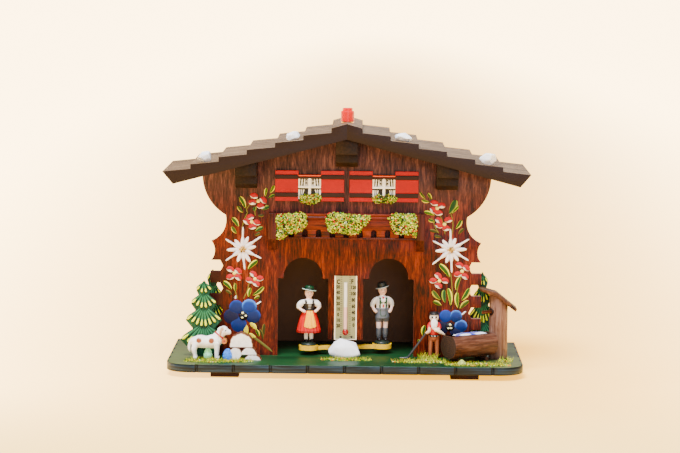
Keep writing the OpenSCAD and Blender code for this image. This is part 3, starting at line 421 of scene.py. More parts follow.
# Heights in metres between which the wall goes over to a greyer painted shade under the roof, and below which
# log ends are burgundy
ROOF_SHADE_Z = (0.076, 0.108)
BURGUNDY_Z = (0.075, 0.055)


def wall_light_and_log_ends(tree, colour):
    """A greyer upper wall as painted shade under the roof, sawn edges painted paler than the face as a
    painted highlight, and log ends that darken to burgundy low down, most on the left.
    """
    flat = math_node(tree, "ABSOLUTE", facing(tree, 1))
    x, _, z = axes(tree, own(tree, "Object"))
    inputs = {"Hue": 0.49, "Saturation": 0.62, "Value": 0.86, "Color": colour}
    grey = wire(tree, "ShaderNodeHueSaturation", inputs).outputs[0]
    # The upper wall goes over to a greyer colour: painted shade under the roof.
    high = math_node(tree, "MULTIPLY", ramp(tree, z, *ROOF_SHADE_Z), 0.92)
    roof_shade = mix_colour(tree, high, colour, mix_colour(tree, 0.22, grey, srgb(84, 64, 68)))
    # Sawn edges take a paler colour than the face: a painted highlight along the edges.
    sawn = mix_colour(tree, ramp(tree, flat, 0.72, 0.98), srgb(176, 130, 118), roof_shade)
    beyond = ramp(tree, math_node(tree, "ABSOLUTE", x), LOG_END_X * MM, (LOG_END_X + 7) * MM)
    low = math_node(tree, "MULTIPLY", ramp(tree, z, *BURGUNDY_Z), ramp(tree, x, 0.11, -0.01))
    return mix_colour(tree, math_node(tree, "MULTIPLY", beyond, low), sawn, srgb(52, 14, 8))


def stain_roof(tree, colour):
    """Bare weathered tops; the sawn fronts and undersides are stained dark."""
    top = ramp(tree, facing(tree, 2), 0.5, 0.85)
    return mix_colour(tree, top, srgb(42, 28, 25), colour)


def stain_inside(tree, colour):
    """Faces towards the front and the room are stained nearly black."""
    inward = ramp(tree, facing(tree, 1), -0.2, 0.2)
    return mix_colour(tree, inward, srgb(112, 82, 62), colour)


BASE_LOW, BASE_HIGH = box_mm("base_plate")
# Sides of the base, in metres, over which its green pales to sage: a painted sheen
SHEEN_X = (0.068, 0.09)
# Round front corners of the base, without grooves
CORNER = 15.0
# Grooves in the sides of the base: one of them, and the step to the next
GROOVE_Y = 10.0
GROOVE_STEP = 16.0


def paint_base(tree, colour):
    """Green top that pales to sage at both sides as a painted sheen, and slate edges with lighter scratches.

    The foot of the edges and the grooves are darkened with painted shade, and each groove in a side notches
    the top with a dark painted shade.
    """
    place = own(tree, "Object")
    x, y, z = axes(tree, place)
    across = math_node(tree, "ABSOLUTE", x)
    # Towards both sides the green pales to sage: a painted sheen.
    side = ramp(tree, across, *SHEEN_X)
    top = mix_colour(tree, math_node(tree, "MULTIPLY", side, 0.62), colour, srgb(116, 116, 64))
    drawn = wire(tree, "ShaderNodeMapping", {"Vector": place, "Scale": (40, 40, 900)}).outputs[0]
    streak = noise(tree, drawn, 1, 3)
    slate = mix_colour(tree, ramp(tree, streak, 0.42, 0.66), srgb(13, 28, 36), srgb(40, 64, 80))
    # The foot of the edges darkens where it meets the floor: painted shade.
    shade = ramp(tree, z, (BASE_LOW[2] + 1.0) * MM, BASE_LOW[2] * MM)
    slate = mix_colour(tree, shade, slate, srgb(20, 20, 24))
    # The faces of the grooves are darkened: painted shade in the grooves.
    askew = math_node(tree, "ABSOLUTE", math_node(tree, "MULTIPLY", facing(tree, 0), facing(tree, 1)))
    beside = math_node(tree, "GREATER_THAN", across, (BASE_HIGH[0] - CORNER) * MM)
    before = math_node(tree, "LESS_THAN", y, (BASE_LOW[1] + CORNER) * MM)
    deep = math_node(tree, "SUBTRACT", 0.7, math_node(tree, "MULTIPLY", beside, before))
    groove_shade = math_node(tree, "MULTIPLY", ramp(tree, askew, 0.2, 0.4), deep)
    edge = mix_colour(tree, groove_shade, slate, srgb(10, 10, 11))
    # Each groove in a side notches the top edge with a dark mark: painted shade.
    row = math_node(tree, "MULTIPLY_ADD", y, 1 / (GROOVE_STEP * MM), 0.5 - GROOVE_Y / GROOVE_STEP)
    off = math_node(tree, "ABSOLUTE", math_node(tree, "SUBTRACT", math_node(tree, "FRACT", row), 0.5))
    rim = ramp(tree, across, (BASE_HIGH[0] - 1.5) * MM, (BASE_HIGH[0] - 1.2) * MM)
    notch_shade = math_node(tree, "MULTIPLY", ramp(tree, off, 0.22, 0.18), rim)
    top = mix_colour(tree, notch_shade, top, srgb(16, 18, 16))
    return mix_colour(tree, ramp(tree, facing(tree, 2), 0.3, 0.8), edge, top)


mahogany = wood("mahogany", ALONG_Z, 1200, 0.6, (38, 9, 4), (96, 30, 10), (148, 60, 24),
                coat=0.03, cover=wall_light_and_log_ends, stretch=0.13)
SHELL_STAIN = ((70, 40, 24), (112, 68, 40), (138, 90, 56))
shell_wood = wood("shell_wood", ALONG_Z, 900, 0.4, *SHELL_STAIN)
back_wood = wood("back_wood", ALONG_Z, 900, 0.4, *SHELL_STAIN, cover=stain_inside)
roof_wood = wood("roof_wood", ALONG_X, 700, 0.3, (104, 79, 54), (144, 114, 82), (172, 142, 106),
                 cover=stain_roof)
purlin_wood = wood("purlin_wood", ALONG_Y, 900, 0.3, (30, 18, 12), (44, 28, 20), (58, 40, 30))
base_paint = wood("base_paint", ALONG_X, 500, 0.2, (14, 56, 30), (26, 80, 44), (42, 98, 56),
                  coat=0.15, relief_mm=0.03, cover=paint_base)
batten_wood = wood("batten_wood", ALONG_Y, 800, 0.4, (30, 10, 6), (52, 20, 12), (72, 34, 22))
plain_wood = wood("plain_wood", ALONG_Y, 800, 0.3, (150, 108, 66), (186, 144, 96), (206, 168, 120))
balcony_wood = wood("balcony_wood", ALONG_X, 1000, 0.45, (52, 15, 4), (110, 38, 8), (148, 62, 16),
                    coat=0.03)
post_stain_and_floor_shade = wood("post_stain_and_floor_shade", ALONG_Z, 1000, 0.45, (50, 18, 10), (84, 34, 18), (112, 52, 30), coat=0.03)

add_camera()
add_studio()
add_floor()

# Boards: finish, rounding of the edges in millimetres, and the nodes
BOARDS = (
    (base_paint, 0.3, ("base_plate",)),
    (mahogany, 0.6, ("front_wall",)),
    (roof_wood, 0.2, ("roof_left", "roof_right")),
    (shell_wood, 0.3, ("side_wall_left", "side_wall_right")),
    (back_wood, 0.3, ("back_wall",)),
    (purlin_wood, 0.3, ("ridge_purlin", "purlin_left", "purlin_right",
                        "ridge_corbel", "corbel_left", "corbel_right")),
    (batten_wood, 0.3, ("foot_batten_left", "foot_batten_right")),
    (balcony_wood, 0.2, ("balcony_board", "balcony_rail")),
    # The balcony floor takes the darker post stain as painted shade beneath the arches.
    (post_stain_and_floor_shade, 0.2, ("balcony_floor", "balcony_post_left", "balcony_post_right")),
)
for finish, round_mm, nodes in BOARDS:
    for node in nodes:
        board(node, finish, round_mm)
finish_nodes(plain_wood, "ridge_block")


# Shapes worked out on grids

def curve(points, steps):
    """A smooth line through points: a cubic between each pair, heading along its neighbours."""
    given = np.asarray(points, float)
    p = np.vstack([2 * given[0] - given[1], given, 2 * given[-1] - given[-2]])
    s = np.linspace(0, len(given) - 1, steps)
    i = np.minimum(s.astype(int), len(given) - 2)
    f = (s - i)[:, None]
    a, b, c, d = p[i], p[i + 1], p[i + 2], p[i + 3]
    return 0.5 * (2 * b + (c - a) * f + (2 * a - 5 * b + 4 * c - d) * f**2 + (3 * b - a - 3 * c + d) * f**3)


def tube(points, steps=14, sides=14, up=(0, 1, 0), flat=1.0):
    """A ring carried along a smooth line of (x, y, z, radius), square to it, with half-round ends."""
    line = curve(points, steps)
    path, radius = line[:, :3], np.maximum(line[:, 3], 0.05)
    way = unit(np.gradient(path, axis=0))
    bend = np.linspace(math.pi / 2, 0, 5)[:-1]
    head = path[0] - way[0] * radius[0] * np.sin(bend)[:, None]
    tail = path[-1] + way[-1] * radius[-1] * np.sin(bend[::-1])[:, None]
    path = np.vstack([head, path, tail])
    radius = np.concatenate([radius[0] * np.cos(bend), radius, radius[-1] * np.cos(bend[::-1])])
    way = np.vstack([np.repeat(way[:1], 4, 0), way, np.repeat(way[-1:], 4, 0)])
    side = unit(np.cross(way, up))
    top = np.cross(side, way)
    angle = around(sides)[None, :, None]
    ring = np.cos(angle) * side[:, None] + flat * np.sin(angle) * top[:, None]
    return path[:, None] + radius[:, None, None] * ring


def closed_tube(path, radius, sides=10):
    """A round ring carried along a loop of points; the first ring is repeated to shut it."""
    way = unit(np.roll(path, -1, 0) - np.roll(path, 1, 0))
    out = unit(path - path.mean(0))
    up = np.cross(way, out)
    angle = around(sides)[None, :, None]
    rings = path[:, None] + radius * (np.cos(angle) * out[:, None] + np.sin(angle) * up[:, None])
    return np.concatenate([rings, rings[:1]])


def lathe(profile, steps=40, sides=32, deep=1.0, pleats=0, pleat_mm=0.0):
    """A smooth profile of (radius, height) turned round Z.

    deep squeezes it front to back, and pleats wave it more towards its foot.
    """
    line = curve(profile, steps)
    radius, height = np.maximum(line[:, 0], 0), line[:, 1]
    radius[[0, -1]] = 0
    angle = around(sides)
    fall = (height.max() - height) / np.ptp(height) * np.minimum(radius, 1)
    reach = radius[:, None] + pleat_mm * fall[:, None] * np.cos(pleats * angle)
    x, y = reach * np.cos(angle), deep * reach * np.sin(angle)
    return np.stack([x, y, np.broadcast_to(height[:, None], x.shape)], -1)


def waves(points, seed, frequency, count=7):
    """A smooth random field of about -1 to 1: sines along random directions, added up."""
    draw = np.random.default_rng(seed)
    way = draw.normal(size=(count, 3))
    way *= frequency * draw.uniform(0.6, 1.6, (count, 1)) / np.linalg.norm(way, axis=1, keepdims=True)
    return np.sin(points @ way.T + draw.uniform(0, TURN, count)).sum(-1) / math.sqrt(count)


def lump(size, seed, rough=0.1, square=1.0, rows=22, columns=32):
    """A ball on a grid of two angles, squared off, dented by waves and stretched to its size."""
    height = np.linspace(-math.pi / 2, math.pi / 2, rows)[:, None]
    angle = around(columns)[None]
    ball = np.stack([np.cos(height) * np.cos(angle), np.cos(height) * np.sin(angle),
                     np.sin(height) + 0 * angle], -1)
    ball /= (np.abs(ball) ** (2 * square)).sum(-1, keepdims=True) ** (0.5 / square)
    return ball * (1 + rough * waves(ball, seed, 2.6))[..., None] * (np.array(size) / 2)


def facets(grid, seed, count, depth):
    """Flat chips on a ball: points beyond a random plane are pushed back to it."""
    draw = np.random.default_rng(seed)
    middle = grid.reshape(-1, 3).mean(0)
    size = np.ptp(grid.reshape(-1, 3), axis=0) / 2
    local = (grid - middle) / size
    for way in draw.normal(size=(count, 3)):
        way /= np.linalg.norm(way)
        over = np.maximum(local @ way - (1 - depth), 0)
        local = local - over[..., None] * way
    return local * size + middle


def shell(grid, colour):
    """Rings of points that close on themselves: points, quads and a colour for each point."""
    rows, columns = grid.shape[:2]
    u, v = np.meshgrid(np.arange(rows - 1), np.arange(columns), indexing="ij")
    after = (v + 1) % columns
    quads = np.stack([u * columns + v, u * columns + after, (u + 1) * columns + after,
                      (u + 1) * columns + v], -1)
    return grid.reshape(-1, 3), quads.reshape(-1, 4), np.broadcast_to(colour, grid.shape).reshape(-1, 3)


def turns_of(count, draw):
    """Random turns, from unit quaternions."""
    w, x, y, z = unit(draw.normal(size=(count, 4))).T
    rows = [[1 - 2 * (y * y + z * z), 2 * (x * y - w * z), 2 * (x * z + w * y)],
            [2 * (x * y + w * z), 1 - 2 * (x * x + z * z), 2 * (y * z - w * x)],
            [2 * (x * z - w * y), 2 * (y * z + w * x), 1 - 2 * (x * x + y * y)]]
    return np.array(rows).transpose(2, 0, 1)


def crumbs(centres, size, palette, shares, seed):
    """Eight-sided crumbs of flock, each turned at random, with one colour each from a palette."""
    draw = np.random.default_rng(seed)
    count = len(centres)
    corner = np.array([[1, 0, 0], [-1, 0, 0], [0, 1, 0], [0, -1, 0], [0, 0, 1], [0, 0, -1]])
    corner = corner * size * draw.uniform(0.55, 1.25, (count, 1, 3))
    points = np.einsum("nij,nkj->nki", turns_of(count, draw), corner) + centres[:, None]
    face = np.array([[0, 2, 4], [2, 1, 4], [1, 3, 4], [3, 0, 4], [2, 0, 5], [1, 2, 5], [3, 1, 5], [0, 3, 5]])
    faces = face[None] + 6 * np.arange(count)[:, None, None]
    tone = np.array(palette)[draw.choice(len(palette), count, p=np.array(shares) / sum(shares))]
    tone = tone * draw.uniform(0.7, 1.2, (count, 1))
    return points.reshape(-1, 3), faces.reshape(-1, 3), np.repeat(tone, 6, 0)


def blades(feet, height, width, palette, seed, lean=0.5):
    """Blades of grass: three-sided spikes, each leaning its own way."""
    draw = np.random.default_rng(seed)
    count = len(feet)
    angle = draw.uniform(0, TURN, (count, 1)) + np.array([0, 1, 2]) * TURN / 3
    foot = np.stack([np.cos(angle), np.sin(angle), 0 * angle], -1)
    foot = foot * width * draw.uniform(0.7, 1.3, (count, 1, 1))
    rise = height * draw.uniform(0.5, 1.25, count)
    tip = np.concatenate([draw.normal(size=(count, 2)) * lean * rise[:, None], rise[:, None]], 1)
    points = np.concatenate([foot, tip[:, None]], 1) + feet[:, None]
    face = np.array([[0, 1, 3], [1, 2, 3], [2, 0, 3], [0, 2, 1]])
    faces = face[None] + 4 * np.arange(count)[:, None, None]
    tone = np.array(palette)[draw.integers(len(palette), size=count)] * draw.uniform(0.75, 1.2, (count, 1))
    return points.reshape(-1, 3), faces.reshape(-1, 3), np.repeat(tone, 4, 0)


def about_z(turn):
    """The matrix that turns rows of points round Z."""
    c, s = math.cos(turn), math.sin(turn)
    return np.array([[c, s, 0], [-s, c, 0], [0, 0, 1]])


def moved(part, at, turn=0.0):
    """A part turned round Z and put in its place."""
    points, faces, paint = part
    return points @ about_z(turn) + at, faces, paint


def add_piece(name, parts, material, body="house", instead=(), smooth=True):
    """One piece from parts, with its paint as an attribute; ends are closed and faces turned outwards."""
    starts = np.cumsum([0] + [len(part[0]) for part in parts])
    points = np.concatenate([part[0] for part in parts]) * MM
    faces = [row for part, start in zip(parts, starts) for row in (part[1] + start).tolist()]
    paint = np.ones((len(points), 4), np.float32)
    paint[:, :3] = np.concatenate([part[2] for part in parts])
    mesh = bpy.data.meshes.new(name)
    mesh.from_pydata(points.tolist(), [], faces)
    mesh.color_attributes.new("paint", "FLOAT_COLOR", "POINT").data.foreach_set("color", paint.ravel())
    clean(mesh, mesh, 0.0002)
    if smooth:
        mesh.shade_smooth()
    mesh.materials.append(material)
    piece = put(name, mesh)
    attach(piece, body)
    if instead:
        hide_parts(*instead)


def build_brush():
    """Hand-laid paint: its colour varies a little, with brush ridges and uneven gloss."""
    tree, given, result = new_group(
        "brush_paint",
        [("Vector", "Vector", None), ("Colour", "Color", (0.5, 0.5, 0.5, 1)), ("Scale", "Float", 500.0),
         ("Variation", "Float", 0.3), ("Gloss", "Float", 0.4)],
        [("Color", "Color"), ("Roughness", "Float"), ("Height", "Float")],
    )
    cloud = noise(tree, given["Vector"], given["Scale"], 4, 0.6)
    fine = noise(tree, given["Vector"], math_node(tree, "MULTIPLY", given["Scale"], 3.5), 3, 0.6, 0.4)
    both = math_node(tree, "MULTIPLY_ADD", fine, 0.4, math_node(tree, "MULTIPLY", cloud, 0.6))
    shade = math_node(tree, "MULTIPLY", ramp(tree, both, 0.62, 0.38), given["Variation"])
    deep = mix_colour(tree, 1.0, given["Colour"], (0.45, 0.42, 0.42), "MULTIPLY")
    tree.links.new(mix_colour(tree, shade, given["Colour"], deep), result["Color"])
    rough = math_node(tree, "SUBTRACT", math_node(tree, "MULTIPLY_ADD", cloud, 0.35, 0.62), given["Gloss"])
    tree.links.new(rough, result["Roughness"])
    tree.links.new(both, result["Height"])
    return tree


BRUSH = build_brush()


def brushed(name, scale=500, variation=0.3, gloss=0.3, relief_mm=0.06, colour=None, **sockets):
    """Paint over a piece: one colour, or the piece's own paint attribute."""
    material, tree, shader = new_material(name, Specular_IOR_Level=0.2, **sockets)
    group = wire(tree, "ShaderNodeGroup", node_tree=BRUSH)
    tree.links.new(object_coordinates(tree), group.inputs["Vector"])
    for key, value in (("Scale", scale), ("Variation", variation), ("Gloss", gloss)):
        group.inputs[key].default_value = value
    if colour is None:
        paint = wire(tree, "ShaderNodeAttribute", attribute_name="paint").outputs["Color"]
        tree.links.new(paint, group.inputs["Colour"])
    else:
        group.inputs["Colour"].default_value = (*srgb(*colour), 1)
    feed(tree, shader, Base_Color=group.outputs["Color"], Roughness=group.outputs["Roughness"])
    set_bump(tree, shader, group.outputs["Height"], relief_mm)
    return material


figure_paint = brushed("figure_paint", 420, 0.25, 0.32, Coat_Weight=0.25, Coat_Roughness=0.2)
flower_paint = brushed("flower_paint", 900, 0.3, 0.2, Coat_Weight=0.04, Coat_Roughness=0.3)
flock = brushed("flock", 1500, 0.4, 0.0, 0.1)
stone_paint = brushed("stone_paint", 260, 0.22, 0.2, 0.12)
shutter_red = brushed("shutter_red", 420, 0.25, 0.2, 0.04, (170, 1, 1), Coat_Weight=0.01, Coat_Roughness=0.25)
STRIPE = (52, 22, 16)
stripe_brown = brushed("stripe_brown", 420, 0.3, 0.25, 0.04, STRIPE)
window_white = brushed("window_white", 420, 0.15, 0.3, 0.04, (236, 232, 226))
chimney_red = brushed("chimney_red", 300, 0.25, 0.35, 0.05, (222, 14, 12), Coat_Weight=0.12)
beam_yellow = brushed("beam_yellow", 260, 0.2, 0.3, 0.05, (246, 198, 16), Coat_Weight=0.15)

WHITE = srgb(240, 238, 234)
BLACK = srgb(26, 24, 25)
SKIN = srgb(248, 214, 200)
RED = srgb(206, 14, 16)


# Places read in the photograph

# Parts of the photograph that were read closely: left and top in its pixels, and enlargement
LEFT_PANEL = (205, 180, 13.07)
RIGHT_PANEL = (420, 180, 13.07)
LEFT_GARDEN = (165, 265, 12.54)
RIGHT_GARDEN = (400, 265, 12.06)
RIGHT_CLOSE = (400, 255, 12.54)
LEFT_GENTIAN = (225, 300, 34.84)
SCALE_VIEW = (318, 270, 19.6)
# Size of the photograph in pixels, and its pixels to a millimetre of the wall
PICTURE = (680, 453)
PICTURE_MM = 1.81


def read_places(view, places, y):
    """Places in a part of the photograph, carried along the camera's rays to an upright plane: (x, z)."""
    left, top, scale = view
    px = np.array((left, top)) + np.asarray(places, float) / scale
    focal = PICTURE[0] * CAMERA_LENS_MM / SENSOR_MM
    ray = np.stack([px[..., 0] - PICTURE[0] / 2, PICTURE[1] / 2 - px[..., 1],
                    np.full(px.shape[:-1], -focal)], -1)
    ray = ray @ np.array(CAMERA_TURN.to_3x3()).T
    far = np.array(CAMERA_AT_MM) + ray * ((y - CAMERA_AT_MM[1]) / ray[..., 1:2])
    return far[..., [0, 2]]


# Stones

# Stones on the roof lie further apart along X than this
STONE_GAP = 8.0
STONE_WHITE = srgb(252, 252, 254)
# How much further than its solid the boulder reaches: to each side, to the front and upwards
BOULDER_SIDE = 0.6
BOULDER_FRONT = 2.2
BOULDER_TOP = 0.3
# Share of the boulder's height below its broadest part
BOULDER_FOOT = 0.35


def add_stones():
    """Chipped white stones on the roof, and the boulder before the doorways."""
    mesh = frame["nodes"]["roof_stones"].data
    points = np.empty(3 * len(mesh.vertices))
    mesh.vertices.foreach_get("co", points)
    points = points.reshape(-1, 3) / MM
    points = points[np.argsort(points[:, 0])]
    gaps = np.nonzero(np.diff(points[:, 0]) > STONE_GAP)[0] + 1
    shapes = []
    for seed, stone in enumerate(np.split(points, gaps)):
        low, high = stone.min(0), stone.max(0)
        grid = facets(lump(high - low, seed + 3, 0.12, 1.5), seed + 20, 16, 0.22)
        shapes.append(shell(grid + (low + high) / 2, STONE_WHITE))
    add_piece("roof_stones_white", shapes, stone_paint, instead=("roof_stones",))
    low, high = box_mm("doorstep_stone")
    low = low - (BOULDER_SIDE, BOULDER_FRONT, 0)
    high = high + (BOULDER_SIDE, 0, BOULDER_TOP)
    size = high - low
    foot = BOULDER_FOOT * size[2]
    grid = facets(lump(size * (1, 1, 1.5), 5, 0.08, 1.7), 8, 26, 0.26)
    grid = grid * (size / np.ptp(grid.reshape(-1, 3), axis=0)) * (1, 1, 1.3)
    grid[..., 2] = np.maximum(grid[..., 2], -foot)
    grid += np.array([(low[0] + high[0]) / 2, (low[1] + high[1]) / 2, low[2] + foot])
    grid[..., 2] = np.minimum(grid[..., 2], high[2])
    add_piece("doorstep_boulder", [shell(grid, STONE_WHITE)], stone_paint,
              instead=("doorstep_stone",))


add_stones()


# Moss and grass

MOSS_COLOURS = (srgb(154, 180, 26), srgb(214, 214, 70), srgb(92, 136, 28), srgb(30, 48, 12),
                srgb(226, 224, 170), srgb(204, 50, 26), srgb(226, 130, 30), srgb(110, 150, 130))
MOSS_SHARES = (32, 22, 18, 14, 4, 4, 6, 3)
MOSS_CORE = srgb(52, 62, 20)
# Outlines of the clumps as read along the balcony and along the windows
BALCONY_VIEW = (262, 205, 9.62)
WINDOW_VIEW = (290, 170, 14.25)
LEFT_MOSS = ((150, 95), (300, 80), (410, 85), (432, 180), (390, 240), (320, 275), (250, 290), (190, 330),
             (140, 315), (150, 220), (135, 150))
MIDDLE_MOSS = ((615, 95), (720, 75), (860, 95), (1030, 110), (1020, 180), (960, 220), (940, 270), (860, 285),
               (740, 265), (650, 260), (625, 190))
RIGHT_MOSS = ((1215, 130), (1270, 85), (1380, 95), (1480, 105), (1480, 310), (1430, 285), (1340, 285),
              (1270, 275), (1245, 200))
LEFT_SILL = ((135, 375), (230, 345), (300, 355), (370, 335), (445, 380), (440, 440), (380, 475), (280, 490),
             (190, 470), (140, 430))
RIGHT_SILL = ((1170, 390), (1250, 350), (1330, 375), (1410, 345), (1520, 385), (1515, 440), (1450, 475),
              (1330, 470), (1230, 475), (1180, 440))


def depth_inside(points, outline):
    """How far points lie inside a closed outline; negative outside it."""
    a, b = outline, np.roll(outline, -1, 0)
    edge = b - a
    off = points[:, None] - a
    share = np.clip((off * edge).sum(-1) / (edge**2).sum(-1), 0, 1)
    near = np.linalg.norm(off - share[..., None] * edge, axis=-1).min(1)
    crosses = (a[:, 1] > points[:, None, 1]) != (b[:, 1] > points[:, None, 1])
    rise = np.where(edge[:, 1] == 0, 1, edge[:, 1])
    left = points[:, None, 0] < a[:, 0] + (points[:, None, 1] - a[:, 1]) / rise * edge[:, 0]
    return np.where((crosses & left).sum(1) % 2 == 1, near, -near)


def moss_parts(node, view, outline, crumb_mm, density, seed):
    """A clump: a low dark dome over a ragged outline, with crumbs of flock all over its front."""
    low, high = box_mm(node)
    thick = high[1] - low[1]
    corners = read_places(view, outline, high[1] - thick / 2)
    ring = curve(np.vstack([corners, corners[:1]]), 61)[:-1]
    middle = corners.mean(0)
    share = np.array([0, 0.4, 0.7, 0.9, 0.97, 0.97, 0.6, 0])
    flat = middle + (ring - middle) * share[:, None, None]
    lift = thick * np.array([0.7, 0.66, 0.55, 0.35, 0.1, 0, 0, 0])
    y = np.broadcast_to((high[1] - lift)[:, None], flat.shape[:2])
    parts = [shell(np.stack([flat[..., 0], y, flat[..., 1]], -1), MOSS_CORE)]
    draw = np.random.default_rng(seed)
    reach = np.ptp(ring, axis=0) + 0.8
    spots = middle + (draw.uniform(-0.5, 0.5, (int(density * reach.prod()), 2))) * reach * 1.1
    inside = depth_inside(spots, ring) + draw.uniform(-0.1, 0.35, len(spots))
    spots, inside = spots[inside > 0], inside[inside > 0]
    lift = thick * (1 - np.exp(-inside / 1.2)) * draw.uniform(0.55, 0.9, len(inside))
    centres = np.stack([spots[:, 0], high[1] - 0.1 - lift, spots[:, 1]], -1)
    parts.append(crumbs(centres, crumb_mm, MOSS_COLOURS, MOSS_SHARES, seed + 1))
    return parts


for clump, outline, seed in (("left", LEFT_MOSS, 41), ("middle", MIDDLE_MOSS, 43), ("right", RIGHT_MOSS, 45)):
    node = "balcony_moss_" + clump
    add_piece("moss_cushion_" + clump, moss_parts(node, BALCONY_VIEW, outline, 0.6, 6, seed), flock,
              instead=(node,), smooth=False)
sill_moss = [part for outline, seed in ((LEFT_SILL, 71), (RIGHT_SILL, 73))
             for part in moss_parts("window_moss", WINDOW_VIEW, outline, 0.45, 8, seed)]
add_piece("moss_on_sills", sill_moss, flock, instead=("window_moss",), smooth=False)

GRASS_COLOURS = (srgb(172, 190, 36), srgb(220, 218, 60), srgb(96, 140, 30), srgb(230, 198, 54))
FLOCK_COLOURS = (srgb(150, 172, 34), srgb(204, 208, 66), srgb(76, 118, 26), srgb(222, 132, 40),
                 srgb(236, 232, 196))
FLOCK_SHARES = (36, 26, 24, 9, 5)
# Tufts: place, half width along X, half depth, blades' height and crumbs to a millimetre of width
TUFTS = ((-72, -36.6, 15.5, 3.8, 2.2, 40), (0.5, -26.4, 14, 3.0, 1.9, 28), (42, -31.6, 16, 3.4, 2.2, 34),
         (72.2, -40.4, 18, 3.8, 2.0, 34), (88, -24.9, 4, 3.8, 2.4, 30), (45.6, -23.2, 6, 2.2, 3.8, 30),
         (-56, -35.6, 6, 2.6, 2.0, 30))
# The mint is brighter than the flock itself, painted light against the shade under the dog; the first bush
# raises it by a further 30 per cent.
LIT_MINT = srgb(190, 255, 210)
PALE_BLUE = srgb(70, 150, 244)
# Bushes of dyed flock: place, half width, height, taper and colour
BUSHES = ((-75.2, -25.6, 2.6, 6.2, 0.9, LIT_MINT * 1.3), (-63.8, -33.9, 2.5, 6.6, 0.25, PALE_BLUE),
          (63.4, -41.4, 2.2, 2.6, 0.6, srgb(196, 208, 120)))


def bush_parts(x, y, half, tall, taper, colour, seed):
    """A bush that tapers: a rough cone of one colour with crumbs of the same all over it."""
    cone = lump((2 * half, 2 * half, tall), seed, 0.12, 1.0, 14, 18)
    up = cone[..., 2:] / tall + 0.5
    slim = 1 + 0.3 * taper - taper * up
    cone = cone * np.concatenate([slim, slim, np.ones_like(up)], -1)
    cone += np.array([x, y, FLOOR_Z + tall / 2])
    spots = cone[1:-1].reshape(-1, 3)
    return [shell(cone, colour), crumbs(spots, 0.4, (colour, colour * 0.85, colour * 1.2), (3, 1, 3), seed)]


def add_grass():
    """Tufts along the front: crumbs of flock on the ground with blades among them, and three bushes."""
    parts = []
    for seed, (x, y, half_w, half_d, tall, dense) in enumerate(TUFTS):
        draw = np.random.default_rng(100 + seed)
        count = int(dense * half_w)
        reach = np.sqrt(draw.uniform(0, 1, (count, 1)))
        angle = draw.uniform(0, TURN, (count, 1))
        flat = reach * np.hstack([half_w * np.cos(angle), half_d * np.sin(angle)]) + (x, y)
        rise = FLOOR_Z + 1.1 * (1 - reach**2) * draw.uniform(0.2, 1, (count, 1))
        spots = np.hstack([flat, rise])
        parts.append(crumbs(spots, 0.55, FLOCK_COLOURS, FLOCK_SHARES, 200 + seed))
        feet = np.hstack([flat, np.full((count, 1), FLOOR_Z)])[: count // 2]
        parts.append(blades(feet, tall, 0.22, GRASS_COLOURS, 300 + seed))
    for seed, bush in enumerate(BUSHES):
        parts += bush_parts(*bush, 400 + seed)
    add_piece("flock_grass", parts, flock, instead=("grass",), smooth=False)


add_grass()


# Carved figures on the beam

BEAM_REST = math.radians(12)
BEAM_REACH = 20.8
PIVOT = np.array(frame["joints"][1]["pos_m"][:2]) / MM
PAD_Z = box_mm("figure_beam")[1][2]


def on_pad(parts, side):
    """Puts a figure's parts on its pad at the end of the beam."""
    reach = side * BEAM_REACH
    at = (PIVOT[0] + reach * math.cos(BEAM_REST), PIVOT[1] + reach * math.sin(BEAM_REST), PAD_Z)
    return [moved(part, at, BEAM_REST) for part in parts]


def pick(mask, first, second):
    """Per point, the first colour where the mask holds and the second elsewhere."""
    return np.where(mask[..., None], first, second)


def head_part(z, size, hair, skin=SKIN):
    """A head: a ball with a small nose; hair behind, two eyes, cheeks and a mouth in front."""
    ball = lump((size * 1.9, size * 1.95, size * 2.2), 1, 0.0, 1.0, 40, 56)
    front = -ball[..., 1] / size
    x, h = ball[..., 0] / size, ball[..., 2] / size
    nose = np.exp(-(x**2 + (h + 0.08) ** 2) / 0.025) * (front > 0)
    colour = pick((front < -0.05 - 0.3 * h) | (h > 0.62), hair, skin)
    for sx in (-1, 1):
        cheek = np.exp(-((x - sx * 0.45) ** 2 + (h + 0.25) ** 2) / 0.05) * (front > 0)
        colour = colour * (1 - 0.45 * cheek[..., None]) + srgb(224, 120, 104) * 0.45 * cheek[..., None]
        eye = ((x - sx * 0.34) ** 2 / 0.012 + (h - 0.16) ** 2 / 0.012 < 1) & (front > 0)
        colour = pick(eye, BLACK, colour)
    mouth = (x**2 / 0.05 + (h + 0.46) ** 2 / 0.006 < 1) & (front > 0)
    colour = pick(mouth, srgb(190, 60, 52), colour)
    ball[..., 1] -= 0.22 * size * nose
    return shell(ball + (0, 0, z), colour)


def hat_part(z, brim, crown, tall, lean, felt, band, edge=None):
    """A hat: a brim with its edge, a band and a dented crown, turned about Z and tipped to one side."""
    profile = [(0, 0), (brim * 0.6, -0.05), (brim, 0.1), (brim, 0.45), (crown * 1.12, 0.75),
               (crown * 1.02, 1.5), (crown * 0.96, tall * 0.8), (crown * 0.7, tall), (0, tall - 0.25)]
    grid = lathe(profile, 56, 36)
    height = grid[..., 2]
    reach = np.hypot(grid[..., 0], grid[..., 1])
    colour = pick((height > 0.7) & (height < 1.35) & (reach < crown * 1.15), band, felt)
    colour = pick(reach > 0.93 * brim, felt if edge is None else edge, colour)
    tip = math.radians(lean)
    c, s = math.cos(tip), math.sin(tip)
    return shell(grid @ np.array([[c, 0, -s], [0, 1, 0], [s, 0, c]]) + (0, 0, z), colour)


def stand_part(colour):
    """The turned foot of a figure: a rim and a low dome."""
    profile = [(0, 0), (4.1, 0), (4.3, 0.5), (4.1, 1.0), (3.3, 1.6), (1.5, 1.95), (0, 2)]
    return shell(lathe(profile, 26, 32), colour)


